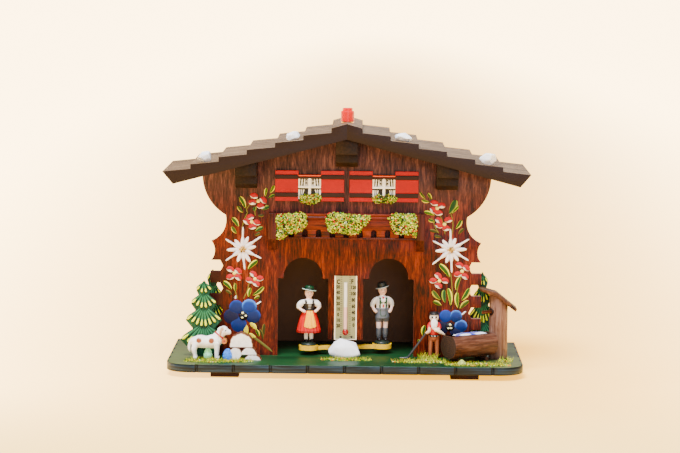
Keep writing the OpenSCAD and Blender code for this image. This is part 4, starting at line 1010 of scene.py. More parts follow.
def limb(points, colour, *more):
    """A tube of one colour along (x, y, z, radius) points."""
    return shell(tube(points, *more), colour)


def pair(points, colour, *more):
    """A limb and its mirror image."""
    points = np.asarray(points, float)
    return [limb(points, colour, *more), limb(points * (-1, 1, 1, 1), colour, *more)]


# Steps and sides of a limb that runs level, and the direction its rings are kept to
LEVEL = (14, 14, (0, 0, 1))


def add_woman():
    """Hat, puffed blouse, black bodice, pleated red skirt with a yellow apron, white socks."""
    profile = [(0, 8.2), (5.6, 7.6), (6.5, 7.25), (6.6, 8.0), (5.9, 11.5), (4.7, 16), (3.1, 19.2), (0, 19.6)]
    skirt = lathe(profile, 60, 96, 0.86, 18, 0.28)
    hem = (skirt[..., 2] < 8.3) & (skirt[..., 2] > 7.5)
    skirt_colour = pick(hem, srgb(150, 16, 20), RED)
    angle = np.linspace(-0.64, 0.64, 26)
    height = np.linspace(0, 1, 26)[:, None]
    reach = np.interp(height, [0, 0.25, 0.72, 1], [6.15, 5.65, 4.4, 3.25]) + 0.16 * np.cos(14 * angle)
    span = angle * (0.8 + 0.2 * (1 - height))
    level = 10.4 + 8.9 * height + 1.2 * np.cos(angle * 2.2) * (height - 1) + 0.7 * (1 - height)
    outer = np.stack([reach * np.sin(span), -0.86 * reach * np.cos(span) - 0.35, level], -1)
    inner = outer + (0, 0.6, 0)
    ring = np.concatenate([outer, inner[:, ::-1]], 1)
    flat = (ring[:, :26] + ring[:, :25:-1]) / 2
    shut = np.concatenate([flat, flat[:, ::-1]], 1)
    apron = np.concatenate([shut[:1], ring, shut[-1:]])
    torso = lathe([(0, 18.6), (2.9, 19), (2.85, 20.3), (3.35, 22.6), (3.45, 23.6), (2.9, 25), (1.5, 25.9),
                   (1.25, 27.4), (0, 27.6)], 64, 64, 0.82)
    x, y, z = np.moveaxis(torso, -1, 0)
    colour = pick(z > 25.6, SKIN, WHITE)
    neckline = (np.abs(x) < 1.5) & (z > 23.3) & (y < 0)
    straps = (np.abs(np.abs(x) - 2.05) < 0.55) & (z < 25.3)
    colour = pick((z < 23.4) & ~neckline | straps, srgb(32, 30, 32), colour)
    laces = (np.abs(x) < 0.75) & (y < 0) & (z > 20.4) & (z < 23.2) & (np.sin(z * 6.2) > 0.25)
    colour = pick(laces, srgb(206, 204, 200), colour)
    parts = [stand_part(srgb(40, 54, 44)), shell(skirt, skirt_colour), shell(apron, srgb(255, 186, 0)),
             shell(torso, colour)]
    parts += pair([(1.6, -1.5, 2.3, 0.85), (1.6, -0.4, 2.5, 1.0), (1.5, 0.6, 2.6, 0.95)], BLACK, *LEVEL)
    parts += pair([(1.5, 0.2, 2.8, 0.95), (1.5, 0.2, 4.6, 1.15), (1.5, 0.2, 8.6, 1.2)], srgb(236, 232, 230))
    sleeve = [(2.9, 0, 24.3, 1.2), (4.2, 0.1, 23.4, 1.75), (5.3, 0.1, 22.1, 1.7), (5.7, -0.1, 21.3, 1.25)]
    parts += pair(sleeve, WHITE)
    parts += pair([(5.7, -0.2, 21.2, 0.85), (4.7, -1.6, 20, 0.8), (3.2, -3.0, 19.1, 0.85)], SKIN, *LEVEL)
    parts += [head_part(29.0, 2.5, srgb(96, 58, 34)),
              hat_part(30.6, 3.9, 2.5, 2.5, 10, srgb(18, 74, 44), srgb(10, 34, 22), srgb(190, 214, 200))]
    add_piece("painted_woman", on_pad(parts, -1), figure_paint, "beam", ("woman",))


def add_man():
    """Grey hat, white shirt, green braces with a cross strap, grey shorts, bare knees and grey socks."""
    shirt = lathe([(0, 18.5), (3.4, 18.8), (3.3, 20.2), (3.6, 23), (3.65, 24.5), (3.0, 26), (1.6, 26.9),
                   (1.3, 28), (0, 28.2)], 64, 72, 0.8)
    x, y, z = np.moveaxis(shirt, -1, 0)
    front = y < 0.4
    straps = (np.abs(np.abs(x) - 1.75) < 0.5) & (z < 26.2)
    cross = (np.abs(z - 23.1) < 0.5) & (np.abs(x) < 1.9) & front
    colour = pick(z > 27.1, SKIN, WHITE)
    colour = pick(straps | cross, srgb(18, 84, 60), colour)
    badge = (np.abs(x) < 0.5) & (np.abs(z - 23.1) < 0.42) & front
    colour = pick(badge, srgb(226, 214, 190), colour)
    tie = (x**2 / 0.35 + (z - 26.0) ** 2 / 0.4 < 1) & front
    motif = (x**2 / 0.35 + (z - 21.4) ** 2 / 0.9 < 1) & front
    colour = pick(tie | motif, srgb(200, 40, 60), colour)
    profile = [(0, 13.9), (3.2, 14), (3.95, 14.6), (3.95, 16), (3.6, 18.4), (3.45, 20.1), (0, 20.2)]
    hips = lathe(profile, 44, 56, 0.8)
    x, y, z = np.moveaxis(hips, -1, 0)
    flap = (np.abs(x) < 1.7) & (y < 0) & (z > 15.6) & (z < 19.6)
    seam = flap & ((np.abs(np.abs(x) - 1.5) < 0.22) | (z < 16.1))
    grey = srgb(112, 118, 128)
    hip_colour = pick(seam, srgb(62, 92, 68), grey)
    parts = [stand_part(srgb(40, 52, 42)), shell(shirt, colour), shell(hips, hip_colour)]
    shoe = [(1.8, -1.9, 2.3, 0.9), (1.8, -0.6, 2.6, 1.1), (1.7, 0.7, 2.7, 1.0)]
    parts += pair(shoe, srgb(44, 38, 38), *LEVEL)
    parts += pair([(1.75, 0.2, 2.9, 1.0), (1.85, 0.2, 5.6, 1.5), (1.8, 0.2, 8.4, 1.5)], srgb(92, 95, 100))
    parts += pair([(1.8, 0.2, 8.4, 1.35), (1.85, 0.1, 10.4, 1.5), (1.9, 0.1, 13, 1.55)], SKIN)
    parts += pair([(1.9, 0.1, 13.3, 1.85), (1.9, 0, 14.4, 2.0), (1.9, 0, 16, 1.95)], grey)
    sleeve = [(3.0, 0, 25.3, 1.2), (4.4, 0.2, 24.1, 1.5), (5.4, 0.5, 22.3, 1.4), (5.6, 0.5, 21.4, 1.2)]
    parts += pair(sleeve, WHITE)
    parts += pair([(5.6, 0.4, 21.3, 0.85), (5.0, -0.6, 19.6, 0.85), (4.0, -1.5, 18.2, 0.95)], SKIN, *LEVEL)
    parts += [head_part(29.9, 2.5, srgb(58, 44, 36)),
              hat_part(31.4, 3.7, 2.5, 3.1, -14, srgb(46, 52, 54), srgb(30, 44, 40), srgb(206, 210, 204))]
    add_piece("painted_man", on_pad(parts, 1), figure_paint, "beam", ("man",))


add_woman()
add_man()


# Dog, woodpile, farmer

DOG_AT = np.array([-76, -27, FLOOR_Z])


def spotted(grid, spots, spot_colour, colour):
    """Round spots of paint on a surface, given by centre and radius."""
    mask = np.zeros(grid.shape[:2], bool)
    for centre, radius in spots:
        mask |= np.linalg.norm(grid - centre, axis=-1) < radius
    return pick(mask, spot_colour, colour)


def add_dog():
    """A white dog with brown spots; body, neck, head and legs are tubes that swell and taper."""
    brown = srgb(150, 84, 48)
    cream = srgb(254, 252, 248)
    spots = [((-3.9, -3.5, 10.6), 1.5), ((3.0, -3.7, 10.5), 1.5), ((-3, 3.4, 10.4), 1.8),
             ((4, 3.6, 9.5), 1.4)]
    body = tube([(-5.6, 0, 9.3, 3.1), (-3.4, 0, 9.5, 3.6), (0, 0, 9.2, 3.4), (3.6, 0, 9.6, 3.8),
                 (5.6, 0, 10.2, 3.4)], 64, 64)
    parts = [shell(body, spotted(body, spots, brown, cream))]
    parts.append(limb([(4.8, 0, 10.6, 3.2), (6.8, 0, 12.8, 2.7), (8.6, 0, 14.6, 2.4)], cream, 18, 24))
    along = np.array([0.62, 0, 0.78])
    collar_at = np.array([7.3, 0, 13.2])
    a = np.linspace(0, TURN, 36)
    side = np.array([0, 1.0, 0])
    front = np.cross(side, along)
    ring = collar_at + 2.75 * (np.cos(a)[:, None] * side + np.sin(a)[:, None] * front)
    parts.append(shell(closed_tube(ring[:-1], 0.42), srgb(196, 36, 34)))
    head = tube([(8.3, 0, 15.4, 2.4), (9.6, 0, 15.6, 2.6), (10.8, 0, 15.1, 2.1), (12.3, 0, 14.7, 1.45)],
                34, 36)
    marks = [((8.8, -2.2, 16.8), 1.1), ((8.8, 2.2, 16.8), 1.1)]
    colour = spotted(head, marks, srgb(198, 160, 122), cream)
    dots = [((10.5, -1.9, 15.9), 0.55), ((10.5, 1.9, 15.9), 0.55), ((13.6, 0, 15.1), 0.65)]
    parts.append(shell(head, spotted(head, dots, srgb(38, 46, 60), colour)))
    for s in (-1, 1):
        ear = [(8.3, s * 2.2, 16.6, 0.9), (7.9, s * 2.8, 15.2, 1.1), (7.8, s * 2.9, 13.6, 0.8)]
        parts.append(limb(ear, srgb(206, 170, 132), 12, 14, (1, 0, 0), 0.6))
        front_leg = [(5.6, s * 1.9, 8.6, 2.0), (5.9, s * 2.1, 4.8, 1.3), (5.8, s * 2.1, 1.6, 1.1),
                     (6.2, s * 2.1, 0.9, 1.15)]
        hind_leg = [(-5.6, s * 1.5, 8.4, 2.0), (-6.6, s * 2.1, 5.4, 1.5), (-6.2, s * 2.1, 2.4, 1.0),
                    (-5.9, s * 2.1, 0.9, 1.15)]
        parts += [limb(leg, cream, 18, 16) for leg in (front_leg, hind_leg)]
    tail = [(-7.6, 0, 10.6, 1.0), (-9, 0, 8.6, 0.85), (-9.4, 0, 5.6, 0.7), (-8.9, 0, 4.2, 0.4)]
    parts.append(limb(tail, cream, 16, 12))
    parts = [moved(part, DOG_AT) for part in parts]
    add_piece("spotted_dog", parts, figure_paint, instead=("dog",))


def add_keg():
    """The dog's keg: staves that bulge, with two dark hoops, lying across the chest."""
    low, high = box_mm("dog_barrel")
    middle = (low + high) / 2
    half = (high[1] - low[1]) / 2
    profile = [(0, -half), (1.35, -half), (1.45, -half + 0.05), (1.7, -half / 2), (1.8, 0), (1.7, half / 2),
               (1.45, half - 0.05), (1.35, half), (0, half)]
    grid = lathe(profile, 48, 30)
    hoop = np.abs(np.abs(grid[..., 2]) - half * 0.55) < 0.22
    colour = pick(hoop, srgb(60, 44, 36), srgb(190, 128, 66))
    reach = np.hypot(grid[..., 0], grid[..., 1])
    end = np.abs(grid[..., 2]) > half - 0.03
    colour = pick(end & (reach < 1.0), srgb(196, 92, 58), colour)
    colour = pick(end & (reach < 0.4), srgb(120, 52, 34), colour)
    grid = grid[..., [0, 2, 1]] + middle
    add_piece("dog_keg", [shell(grid, colour)], figure_paint, instead=("dog_barrel",))


PILE_AT = np.array([-56, -27, FLOOR_Z])
LOG_LENGTH = 9.0
# Split logs: centre, flat side's height, height and radius
SPLIT_LOGS = ((5.5, 0, 2.9, 5.7), (3.5, 3.0, 3.9, 4.4), (-3.9, 0, 6.9, 3.45), (-0.7, 7.0, 7.6, 6.3))


def add_woodpile():
    """Split logs: an outline of bark and a flat split side, carried along Y, with pale sawn ends."""
    parts = []
    for seed, (x, z, tall, r) in enumerate(SPLIT_LOGS):
        centre = tall - r
        start = math.asin(np.clip(-centre / r, -1, 1))
        angle = np.linspace(start, math.pi - start, 40)
        bark = 1 + 0.03 * np.sin(7 * angle + seed) + 0.02 * np.sin(17 * angle + 2 * seed)
        outline = np.stack([r * bark * np.cos(angle), centre + r * bark * np.sin(angle)], -1)
        outline[:, 1] = np.maximum(outline[:, 1], 0.02)
        flat = np.linspace(outline[-1], outline[0], 14)[1:-1]
        outline = np.concatenate([outline, flat])
        middle = outline.mean(0)
        shares = np.concatenate([[0, 0.5, 0.92, 0.965, 1], np.ones(6), [1, 0.965, 0.92, 0.5, 0]])
        depth = np.concatenate([np.full(4, -0.5), [-0.47], np.linspace(-0.44, 0.44, 6), [0.47],
                                np.full(4, 0.5)])
        rings = middle + (outline - middle)[None] * shares[:, None, None]
        y = np.broadcast_to((depth * LOG_LENGTH)[:, None], rings.shape[:2])
        grid = np.stack([rings[..., 0] + x, y, rings[..., 1] + z], -1) + PILE_AT
        sawn = (shares < 0.93)[:, None]
        rim = (np.abs(depth) > 0.48)[:, None]
        colour = pick(sawn, srgb(248, 244, 238), pick(rim, srgb(176, 132, 104), srgb(124, 78, 54)))
        parts.append(shell(grid, colour))
    add_piece("split_logs", parts, figure_paint, instead=("woodpile",))


FARMER_AT = np.array([48.8, -17.5, FLOOR_Z])


def add_farmer():
    """A farmer at work: brown legs, studded belt, red shirt, long white beard and a black hat."""
    brown = srgb(176, 104, 66)
    red = srgb(190, 30, 30)
    torso = tube([(0, 0, 11.4, 2.3), (0, 0, 13.4, 2.7), (0, 0, 16.6, 2.8), (0, 0, 19.2, 2.5)], 34, 34)
    x, y, z = np.moveaxis(torso, -1, 0)
    belt = (z > 12.1) & (z < 13.6)
    stud = belt & (np.abs(z - 12.85) < 0.3) & (np.sin(np.arctan2(x, -y) * 9) > 0.55)
    colour = pick(belt, BLACK, pick(z < 12.1, brown, red))
    parts = [shell(torso, pick(stud, WHITE, colour))]
    leg = [(1.9, 0.2, 1.3, 0.85), (1.9, 0, 4.4, 1.05), (1.75, 0, 8.4, 1.3), (1.5, 0, 12.2, 1.6)]
    parts += pair(leg, brown)
    shoe = [(1.7, -1.7, 0.7, 0.66), (1.7, -0.5, 0.85, 0.82), (1.7, 0.7, 0.9, 0.8)]
    parts += pair(shoe, srgb(52, 36, 32), *LEVEL)
    parts += pair([(2.2, 0, 19.2, 1.15), (2.8, -0.5, 17.8, 1.2), (2.8, -1.3, 16.8, 1.0)], red)
    far_arm = [(2.6, -1.6, 16.6, 0.95), (0.6, -3.0, 16.5, 0.9), (2.4, -3.2, 15.6, 1.0),
               (4.2, -2.8, 14.6, 0.9), (5.6, -2.4, 13.8, 0.5)]
    parts.append(limb(far_arm, srgb(244, 220, 192), 22, 14))
    near_arm = [(-2.6, -1.6, 16.8, 0.95), (-2.6, -2.8, 15.7, 0.9), (-3.4, -3.2, 15, 0.95),
                (-4.2, -3.1, 14.6, 0.8)]
    parts.append(limb(near_arm, srgb(222, 184, 150), 16, 14))
    beard = lump((4.2, 2.2, 6.2), 4, 0.08, 1.0, 22, 26)
    beard[..., 0] *= 0.55 + 0.45 * np.clip(beard[..., 2] / 6.2 + 0.75, 0, 1)
    parts.append(shell(beard + (0, -2.3, 19.2), srgb(250, 248, 244)))
    parts += [head_part(22.9, 2.6, srgb(34, 30, 30), srgb(250, 240, 228)),
              hat_part(24.4, 2.75, 2.3, 1.5, 0, srgb(30, 27, 28), srgb(40, 36, 36))]
    eye = lump((1.2, 0.7, 1.1), 2, 0.0, 1.0, 10, 14)
    parts += [shell(eye + (side, -2.35, 23.2), BLACK) for side in (-1.05, 1.05)]
    add_piece("painted_farmer", [moved(part, FARMER_AT) for part in parts], figure_paint,
              instead=("farmer",))


def add_hoe():
    """The hoe: a handle that tapers, and a flat blade on the ground."""
    iron = srgb(70, 70, 72)
    handle = limb([(-4.4, -3.3, 14.6, 0.5), (-9.4, -3.65, 7.7, 0.55), (-14.2, -4, 1.1, 0.6)], iron, 16, 12)
    blade = limb([(-14.0, -4, 0.75, 0.62), (-15.6, -4, 0.7, 0.7), (-18.6, -4, 0.7, 0.45)], iron, 12, 14,
                 (0, 0, 1), 0.95)
    parts = [moved(part, FARMER_AT) for part in (handle, blade)]
    add_piece("iron_hoe", parts, figure_paint, instead=("farmer_hoe",))


add_dog()
add_keg()
add_woodpile()
add_farmer()
add_hoe()


# Painted flowers, laid on the wall in relief

def blend(share, first, second):
    """Per point, a share of 0 gives the first colour and 1 the second."""
    share = np.clip(share, 0, 1)[..., None]
    return first * (1 - share) + second * share


def bean_shape(t):
    """Width of an ellipse."""
    return np.sqrt(np.maximum(1 - (2 * t - 1) ** 2, 0))


def leaf_shape(t):
    """Width of an ellipse that is broadest beyond its middle."""
    return bean_shape(t**1.4)


def drop_shape(t):
    """Width that grows along the stroke and ends round."""
    return (0.35 + 0.65 * t) * np.sqrt(np.maximum(1 - t**6, 0)) * np.minimum(t * 6, 1)


def star_shape(t):
    """A petal of edelweiss: a broad body, then a thin round-ended tip."""
    body = np.sin(math.pi * np.clip(0.12 + t / 0.72, 0, 1)) ** 0.7
    tip = 0.44 * np.sqrt(np.clip((1 - t) * 9, 0, 1))
    return np.maximum(body, tip) * np.minimum(t * 8, 1) * (t < 1)


def stem_shape(t):
    """Even width with drawn-in ends."""
    return np.minimum(1, np.minimum(t, 1 - t) * 10)


def bar_shape(t):
    """Even width with square ends."""
    return np.minimum(1, np.minimum(t, 1 - t) * 300)


def stroke(line, half, rise, shape, colour, y=WALL_Y, steps=18):
    """A brush stroke in relief: a low arch carried along a line in an upright face, drawn in at both ends.

    Along it runs t from 0 to 1 and across it s from -1 to 1; the arch is 1 - s squared high, and its sides
    meet the face. colour(t, s) paints it.
    """
    t = (1 - np.cos(np.linspace(0, math.pi, steps))) / 2
    fine = curve(line, 61)
    run = np.linspace(0, 1, 61)
    path = np.stack([np.interp(t, run, fine[:, k]) for k in (0, 1)], -1)
    way = unit(np.gradient(path, axis=0))
    side = np.stack([-way[:, 1], way[:, 0]], -1)
    s = np.sin(np.linspace(-math.pi / 2, math.pi / 2, 11))[None]
    width = np.maximum(shape(t), 0)[:, None]
    flat = path[:, None] + (half * width * s)[..., None] * side[:, None]
    lift = rise * np.sqrt(width) * (1 - s**2)
    grid = np.stack([flat[..., 0], y - lift, flat[..., 1]], -1)
    return shell(grid, colour(t[:, None] + 0 * s, s + 0 * t[:, None]))


def two_tone(core, edge, share=0.5):
    """A core colour along the middle and another along both edges."""
    return lambda t, s: blend((np.abs(s) - share + 0.12) / 0.24, core, edge)


def leaf_paint(core, edge, side):
    """A core colour, broad light paint along one edge and a thin line of it along the other."""
    return lambda t, s: blend(np.maximum((side * s - 0.3) / 0.25, (-side * s - 0.84) / 0.12), core, edge)


def plain(colour):
    """One colour all over."""
    return lambda t, s: np.broadcast_to(colour, t.shape + (3,))


def disc(spot, radius, rise, colour, y=WALL_Y):
    """A round dab of paint."""
    line = [spot - (radius, 0), spot, spot + (radius, 0)]
    return stroke(line, radius, rise, bean_shape, plain(colour), y, 12)


def on_wall(view, places):
    """Places in a part of the photograph, carried to the wall's face."""
    return read_places(view, places, WALL_Y)


LEAF_TONES = {
    "bright": (srgb(26, 84, 12), srgb(226, 214, 30)),
    "olive": (srgb(56, 86, 16), srgb(190, 176, 40)),
    "dull": (srgb(58, 66, 18), srgb(124, 104, 36)),
    "teal": (srgb(20, 78, 38), srgb(146, 166, 54)),
    "yellow": (srgb(70, 110, 12), srgb(238, 224, 24)),
    "calyx": (srgb(226, 208, 4), srgb(252, 240, 24)),
}
# Leaves: foot and tip as read, width as read and tone
LEFT_LEAVES = (
    (790, 215, 805, 105, 40, "yellow"), (850, 170, 905, 70, 45, "yellow"), (830, 235, 915, 190, 35, "teal"),
    (530, 370, 455, 215, 60, "bright"), (500, 425, 425, 340, 45, "olive"), (440, 610, 355, 490, 60, "bright"),
    (415, 700, 350, 610, 50, "olive"), (640, 410, 650, 350, 45, "teal"), (750, 390, 840, 345, 50, "teal"),
    (690, 465, 770, 460, 40, "dull"), (660, 670, 760, 620, 50, "teal"), (650, 720, 720, 690, 35, "dull"),
    (560, 1170, 685, 1050, 60, "bright"), (350, 1430, 240, 1325, 60, "bright"),
    (400, 1460, 400, 1350, 45, "olive"), (350, 1500, 270, 1440, 40, "dull"),
    (570, 1530, 595, 1410, 50, "yellow"), (620, 1510, 770, 1395, 50, "bright"),
    (640, 1560, 715, 1520, 40, "olive"),
)
RIGHT_LEAVES = (
    (70, 245, 0, 160, 35, "bright"), (150, 255, 100, 170, 40, "bright"), (125, 290, 20, 260, 40, "yellow"),
    (190, 465, 55, 415, 50, "yellow"), (195, 545, 110, 515, 45, "bright"), (235, 690, 125, 655, 45, "dull"),
    (280, 745, 190, 725, 40, "dull"), (380, 440, 470, 260, 90, "teal"), (420, 440, 505, 340, 45, "yellow"),
    (465, 640, 545, 525, 50, "bright"), (505, 710, 570, 635, 45, "dull"),
    (390, 1270, 255, 1100, 70, "bright"), (470, 1440, 520, 1270, 55, "bright"),
)
RIGHT_GARDEN_LEAVES = (
    (490, 420, 390, 310, 55, "olive"), (500, 490, 400, 440, 50, "olive"), (545, 460, 530, 300, 55, "teal"),
    (610, 490, 580, 280, 55, "yellow"), (700, 520, 690, 330, 55, "yellow"),
    (740, 430, 840, 280, 60, "bright"), (720, 530, 830, 430, 55, "olive"),
)
LEFT_GENTIAN_LEAVES = (
    (790, 1190, 700, 850, 190, "calyx"), (1100, 1040, 880, 790, 160, "calyx"),
    (1080, 1300, 840, 1170, 140, "calyx"), (1180, 1280, 1090, 1030, 120, "bright"),
    (1360, 1240, 1370, 830, 120, "dull"), (1330, 1390, 1220, 1020, 90, "dull"),
)
FARMER_LEAVES = ((285, 1010, 310, 885, 55, "bright"), (228, 1110, 232, 1055, 28, "olive"))


def leaf_parts(view, rows):
    """Leaves with a slight bend, each from its foot to its tip."""
    parts = []
    for k, (x0, y0, x1, y1, width, tone) in enumerate(rows):
        bow = 0.06 * (-1) ** k
        middle = ((x0 + x1) / 2 + bow * (y1 - y0), (y0 + y1) / 2 - bow * (x1 - x0))
        line = on_wall(view, [(x0, y0), middle, (x1, y1)])
        half = width / view[2] / PICTURE_MM / 2
        parts.append(stroke(line, half, 0.28, leaf_shape, leaf_paint(*LEAF_TONES[tone], (-1) ** k)))
    return parts


STEM = srgb(118, 112, 44)
LEFT_STEMS = (((560, 430), (545, 380), (600, 300)), ((480, 640), (520, 500), (560, 420)),
              ((660, 470), (655, 400), (680, 330)), ((500, 1560), (560, 1420), (600, 1180)),
              ((430, 1560), (395, 1450), (380, 1330)))
RIGHT_STEMS = (((330, 720), (300, 560), (235, 400)), ((250, 700), (200, 620), (150, 480)),
               ((420, 720), (430, 560), (400, 420)), ((430, 1530), (420, 1400), (400, 1200)),
               ((480, 1500), (500, 1380), (545, 1250)))
GENTIAN_STEMS = (((1050, 870), (1160, 940), (1350, 1090)),)


def stem_parts(view, rows, half=0.3):
    """Thin stems between the flowers."""
    return [stroke(on_wall(view, row), half, 0.14, stem_shape, plain(STEM)) for row in rows]


ROSE_RED = srgb(178, 8, 10)
ROSE_PINK = srgb(128, 16, 52)
PETAL_WHITE = srgb(246, 240, 240)
# Alpine roses: the middle of each, then the middles of its petals
LEFT_ROSES = (((695, 275), (635, 205), (615, 295), (765, 265), (730, 350)),
              ((610, 545), (590, 480), (540, 545), (680, 560), (620, 620)),
              ((385, 1220), (325, 1165), (440, 1190), (325, 1275), (435, 1280)),
              ((655, 1295), (630, 1230), (720, 1290), (575, 1315), (670, 1365)))
RIGHT_ROSES = (((225, 370), (185, 300), (285, 335), (170, 400), (245, 440)),
               ((320, 580), (375, 520), (240, 530), (245, 600), (340, 640)),
               ((550, 1195), (515, 1110), (610, 1150), (490, 1240), (590, 1270)),
               ((255, 1320), (235, 1250), (165, 1320), (330, 1320), (240, 1390)))


def petal_paint(phase):
    """Red above, white below, and magenta where they meet along a wavy line."""
    def paint(t, s):
        level = s + 0.3 * np.sin(5 * t + phase)
        low = blend((level + 0.66) / 0.22, PETAL_WHITE, ROSE_PINK)
        return blend((level + 0.3) / 0.4, low, ROSE_RED)
    return paint


def rose_parts(view, roses):
    """Petals red above and white below, round a yellow middle."""
    parts = []
    for k, rose in enumerate(roses):
        spots = on_wall(view, rose)
        for n, far in enumerate(spots[1:]):
            spot = spots[0] + 0.92 * (far - spots[0])
            tilt = math.radians(-16 + 22 * math.sin(2.3 * n + 1.7 * k))
            way = np.array([math.cos(tilt), math.sin(tilt)])
            line = [spot - 2.2 * way, spot + 0.25 * way[::-1] * (-1, 1), spot + 2.2 * way]
            parts.append(stroke(line, 1.6, 0.5, bean_shape, petal_paint(2.1 * n + k)))
        parts.append(disc(spots[0], 1.05, 0.7, srgb(238, 222, 110)))
    return parts


# Edelweiss: the middle, then the tips of the long and of the short petals
LEFT_EDELWEISS = ((490, 905), ((497, 610), (740, 735), (735, 1025), (520, 1175), (270, 1055), (265, 770)),
                  ((390, 780), (565, 740), (665, 870), (590, 1075), (425, 1070), (285, 915)))
RIGHT_EDELWEISS = ((405, 915), ((398, 640), (645, 770), (635, 1055), (415, 1215), (160, 1105), (165, 795)),
                   ((295, 785), (465, 760), (610, 905), (500, 1060), (340, 1085), (200, 930)))
LILAC = srgb(198, 200, 226)
OCHRES = (srgb(214, 170, 84), srgb(236, 208, 130), srgb(120, 96, 40))
GRAINS = 26


def edelweiss_parts(view, middle, long, short, seed):
    """Long tipped petals over short ones, and a heart of small ochre grains laid on a spiral."""
    centre = on_wall(view, middle)
    parts = []
    for tip in on_wall(view, short):
        parts.append(stroke([centre, (centre + tip) / 2, tip], 1.0, 0.4, leaf_shape,
                            lambda t, s: blend(0.75 - t + 0.3 * s, PETAL_WHITE, LILAC)))
    for tip in on_wall(view, long):
        parts.append(stroke([centre, (centre + tip) / 2, tip], 1.18, 0.62, star_shape,
                            lambda t, s: blend(0.4 - 0.5 * t - 0.5 * s, PETAL_WHITE, LILAC), steps=30))
    parts.append(disc(centre, 2.1, 0.7, srgb(196, 160, 84)))
    draw = np.random.default_rng(seed)
    angle = np.arange(GRAINS) * 2.4
    reach = 2.2 * np.sqrt(np.arange(GRAINS) / GRAINS)
    spots = np.stack([centre[0] + reach * np.cos(angle), WALL_Y - 0.75 + 0.06 * reach**2,
                      centre[1] + reach * np.sin(angle)], -1)
    spots = spots + draw.normal(size=(GRAINS, 3)) * 0.08
    parts.append(crumbs(spots, 0.42, OCHRES, (5, 3, 2), seed))
    return parts


BLUE = srgb(28, 74, 164)
NAVY = srgb(22, 28, 72)
SKY = srgb(80, 140, 220)
# Gentian petals: middle, radius and colours of heart and rim
LEFT_PETALS = ((830, 645, 96, NAVY * 0.7, NAVY * 1.3), (925, 745, 98, BLUE * 0.35, BLUE * 0.7),
               (895, 530, 90, BLUE * 0.3, BLUE * 0.8), (1105, 640, 94, BLUE * 0.25, BLUE),
               (1055, 525, 96, BLUE * 0.6, SKY))
RIGHT_PETALS = ((512, 755, 76, NAVY * 0.6, NAVY), (672, 800, 72, NAVY, BLUE * 0.7),
                (550, 618, 76, BLUE * 0.7, BLUE), (735, 737, 76, BLUE * 0.4, SKY),
                (675, 618, 74, BLUE * 0.45, SKY * 0.8))
# Gentian hearts: the middle, its dots and the dashes round the petals
LEFT_HEART = ((985, 640), ((975, 600), (1015, 635), (970, 655)),
              (((1145, 495), (1175, 475), (1205, 455)), ((885, 425), (885, 405), (888, 385))))
RIGHT_HEART = ((600, 745), ((605, 720), (585, 760), (615, 760)), (((745, 600), (770, 580), (795, 558)),))


def rim_paint(heart, rim):
    """One colour within a round petal and another along its upper rim."""
    def paint(t, s):
        out = np.hypot(2 * t - 1, s * bean_shape(t))
        return blend((out - 0.72) / 0.24 * (0.6 + 0.5 * s), heart, rim)
    return paint


def gentian_parts(view, petals, heart, dots, dashes):
    """Round blue petals that overlap, a dark throat with pale dots, and a few white dashes."""
    parts = []
    for k, (x, y, radius, inner, rim) in enumerate(petals):
        spot = on_wall(view, (x, y))
        r = radius / view[2] / PICTURE_MM
        parts.append(stroke([spot - (r, 0), spot, spot + (r, 0)], r, 0.4 + 0.12 * k, bean_shape,
                            rim_paint(inner, rim), steps=24))
    parts.append(disc(on_wall(view, heart), 2.5, 1.1, srgb(8, 10, 22), WALL_Y - 0.2))
    for dot in on_wall(view, dots):
        parts.append(disc(dot, 0.7, 0.7, srgb(250, 246, 190), WALL_Y - 0.85))
    for dash in dashes:
        parts.append(stroke(on_wall(view, dash), 0.42, 0.3, stem_shape, plain(PETAL_WHITE)))
    return parts


foliage = [part for view, rows in ((LEFT_PANEL, LEFT_LEAVES), (RIGHT_PANEL, RIGHT_LEAVES),
                                   (RIGHT_GARDEN, RIGHT_GARDEN_LEAVES), (LEFT_GENTIAN, LEFT_GENTIAN_LEAVES),
                                   (RIGHT_CLOSE, FARMER_LEAVES)) for part in leaf_parts(view, rows)]
foliage += stem_parts(LEFT_GARDEN, GENTIAN_STEMS, 0.7)
foliage += stem_parts(LEFT_PANEL, LEFT_STEMS) + stem_parts(RIGHT_PANEL, RIGHT_STEMS)
add_piece("painted_leaves", foliage, flower_paint)
flowers = {
    "alpine_roses": rose_parts(LEFT_PANEL, LEFT_ROSES) + rose_parts(RIGHT_PANEL, RIGHT_ROSES),
    "edelweiss": edelweiss_parts(LEFT_PANEL, *LEFT_EDELWEISS, 61) + edelweiss_parts(
        RIGHT_PANEL, *RIGHT_EDELWEISS, 62),
    "gentians": gentian_parts(LEFT_GARDEN, LEFT_PETALS, *LEFT_HEART) + gentian_parts(
        RIGHT_GARDEN, RIGHT_PETALS, *RIGHT_HEART),
}
for name, parts in flowers.items():
    add_piece(name, parts, flower_paint)


# Firs

FIR_TIERS = 4
FIR_DABS = (4, 6, 8, 9)


def paint_fir(tree, colour):
    """Sawn edges darker than the face."""
    flat = math_node(tree, "ABSOLUTE", facing(tree, 1))
    return mix_colour(tree, ramp(tree, flat, 0.4, 0.9), srgb(22, 48, 36), colour)


fir_green = wood("fir_green", ALONG_Z, 700, 0.3, (12, 46, 32), (28, 78, 54), (48, 106, 74), relief_mm=0.05,
                 cover=paint_fir)


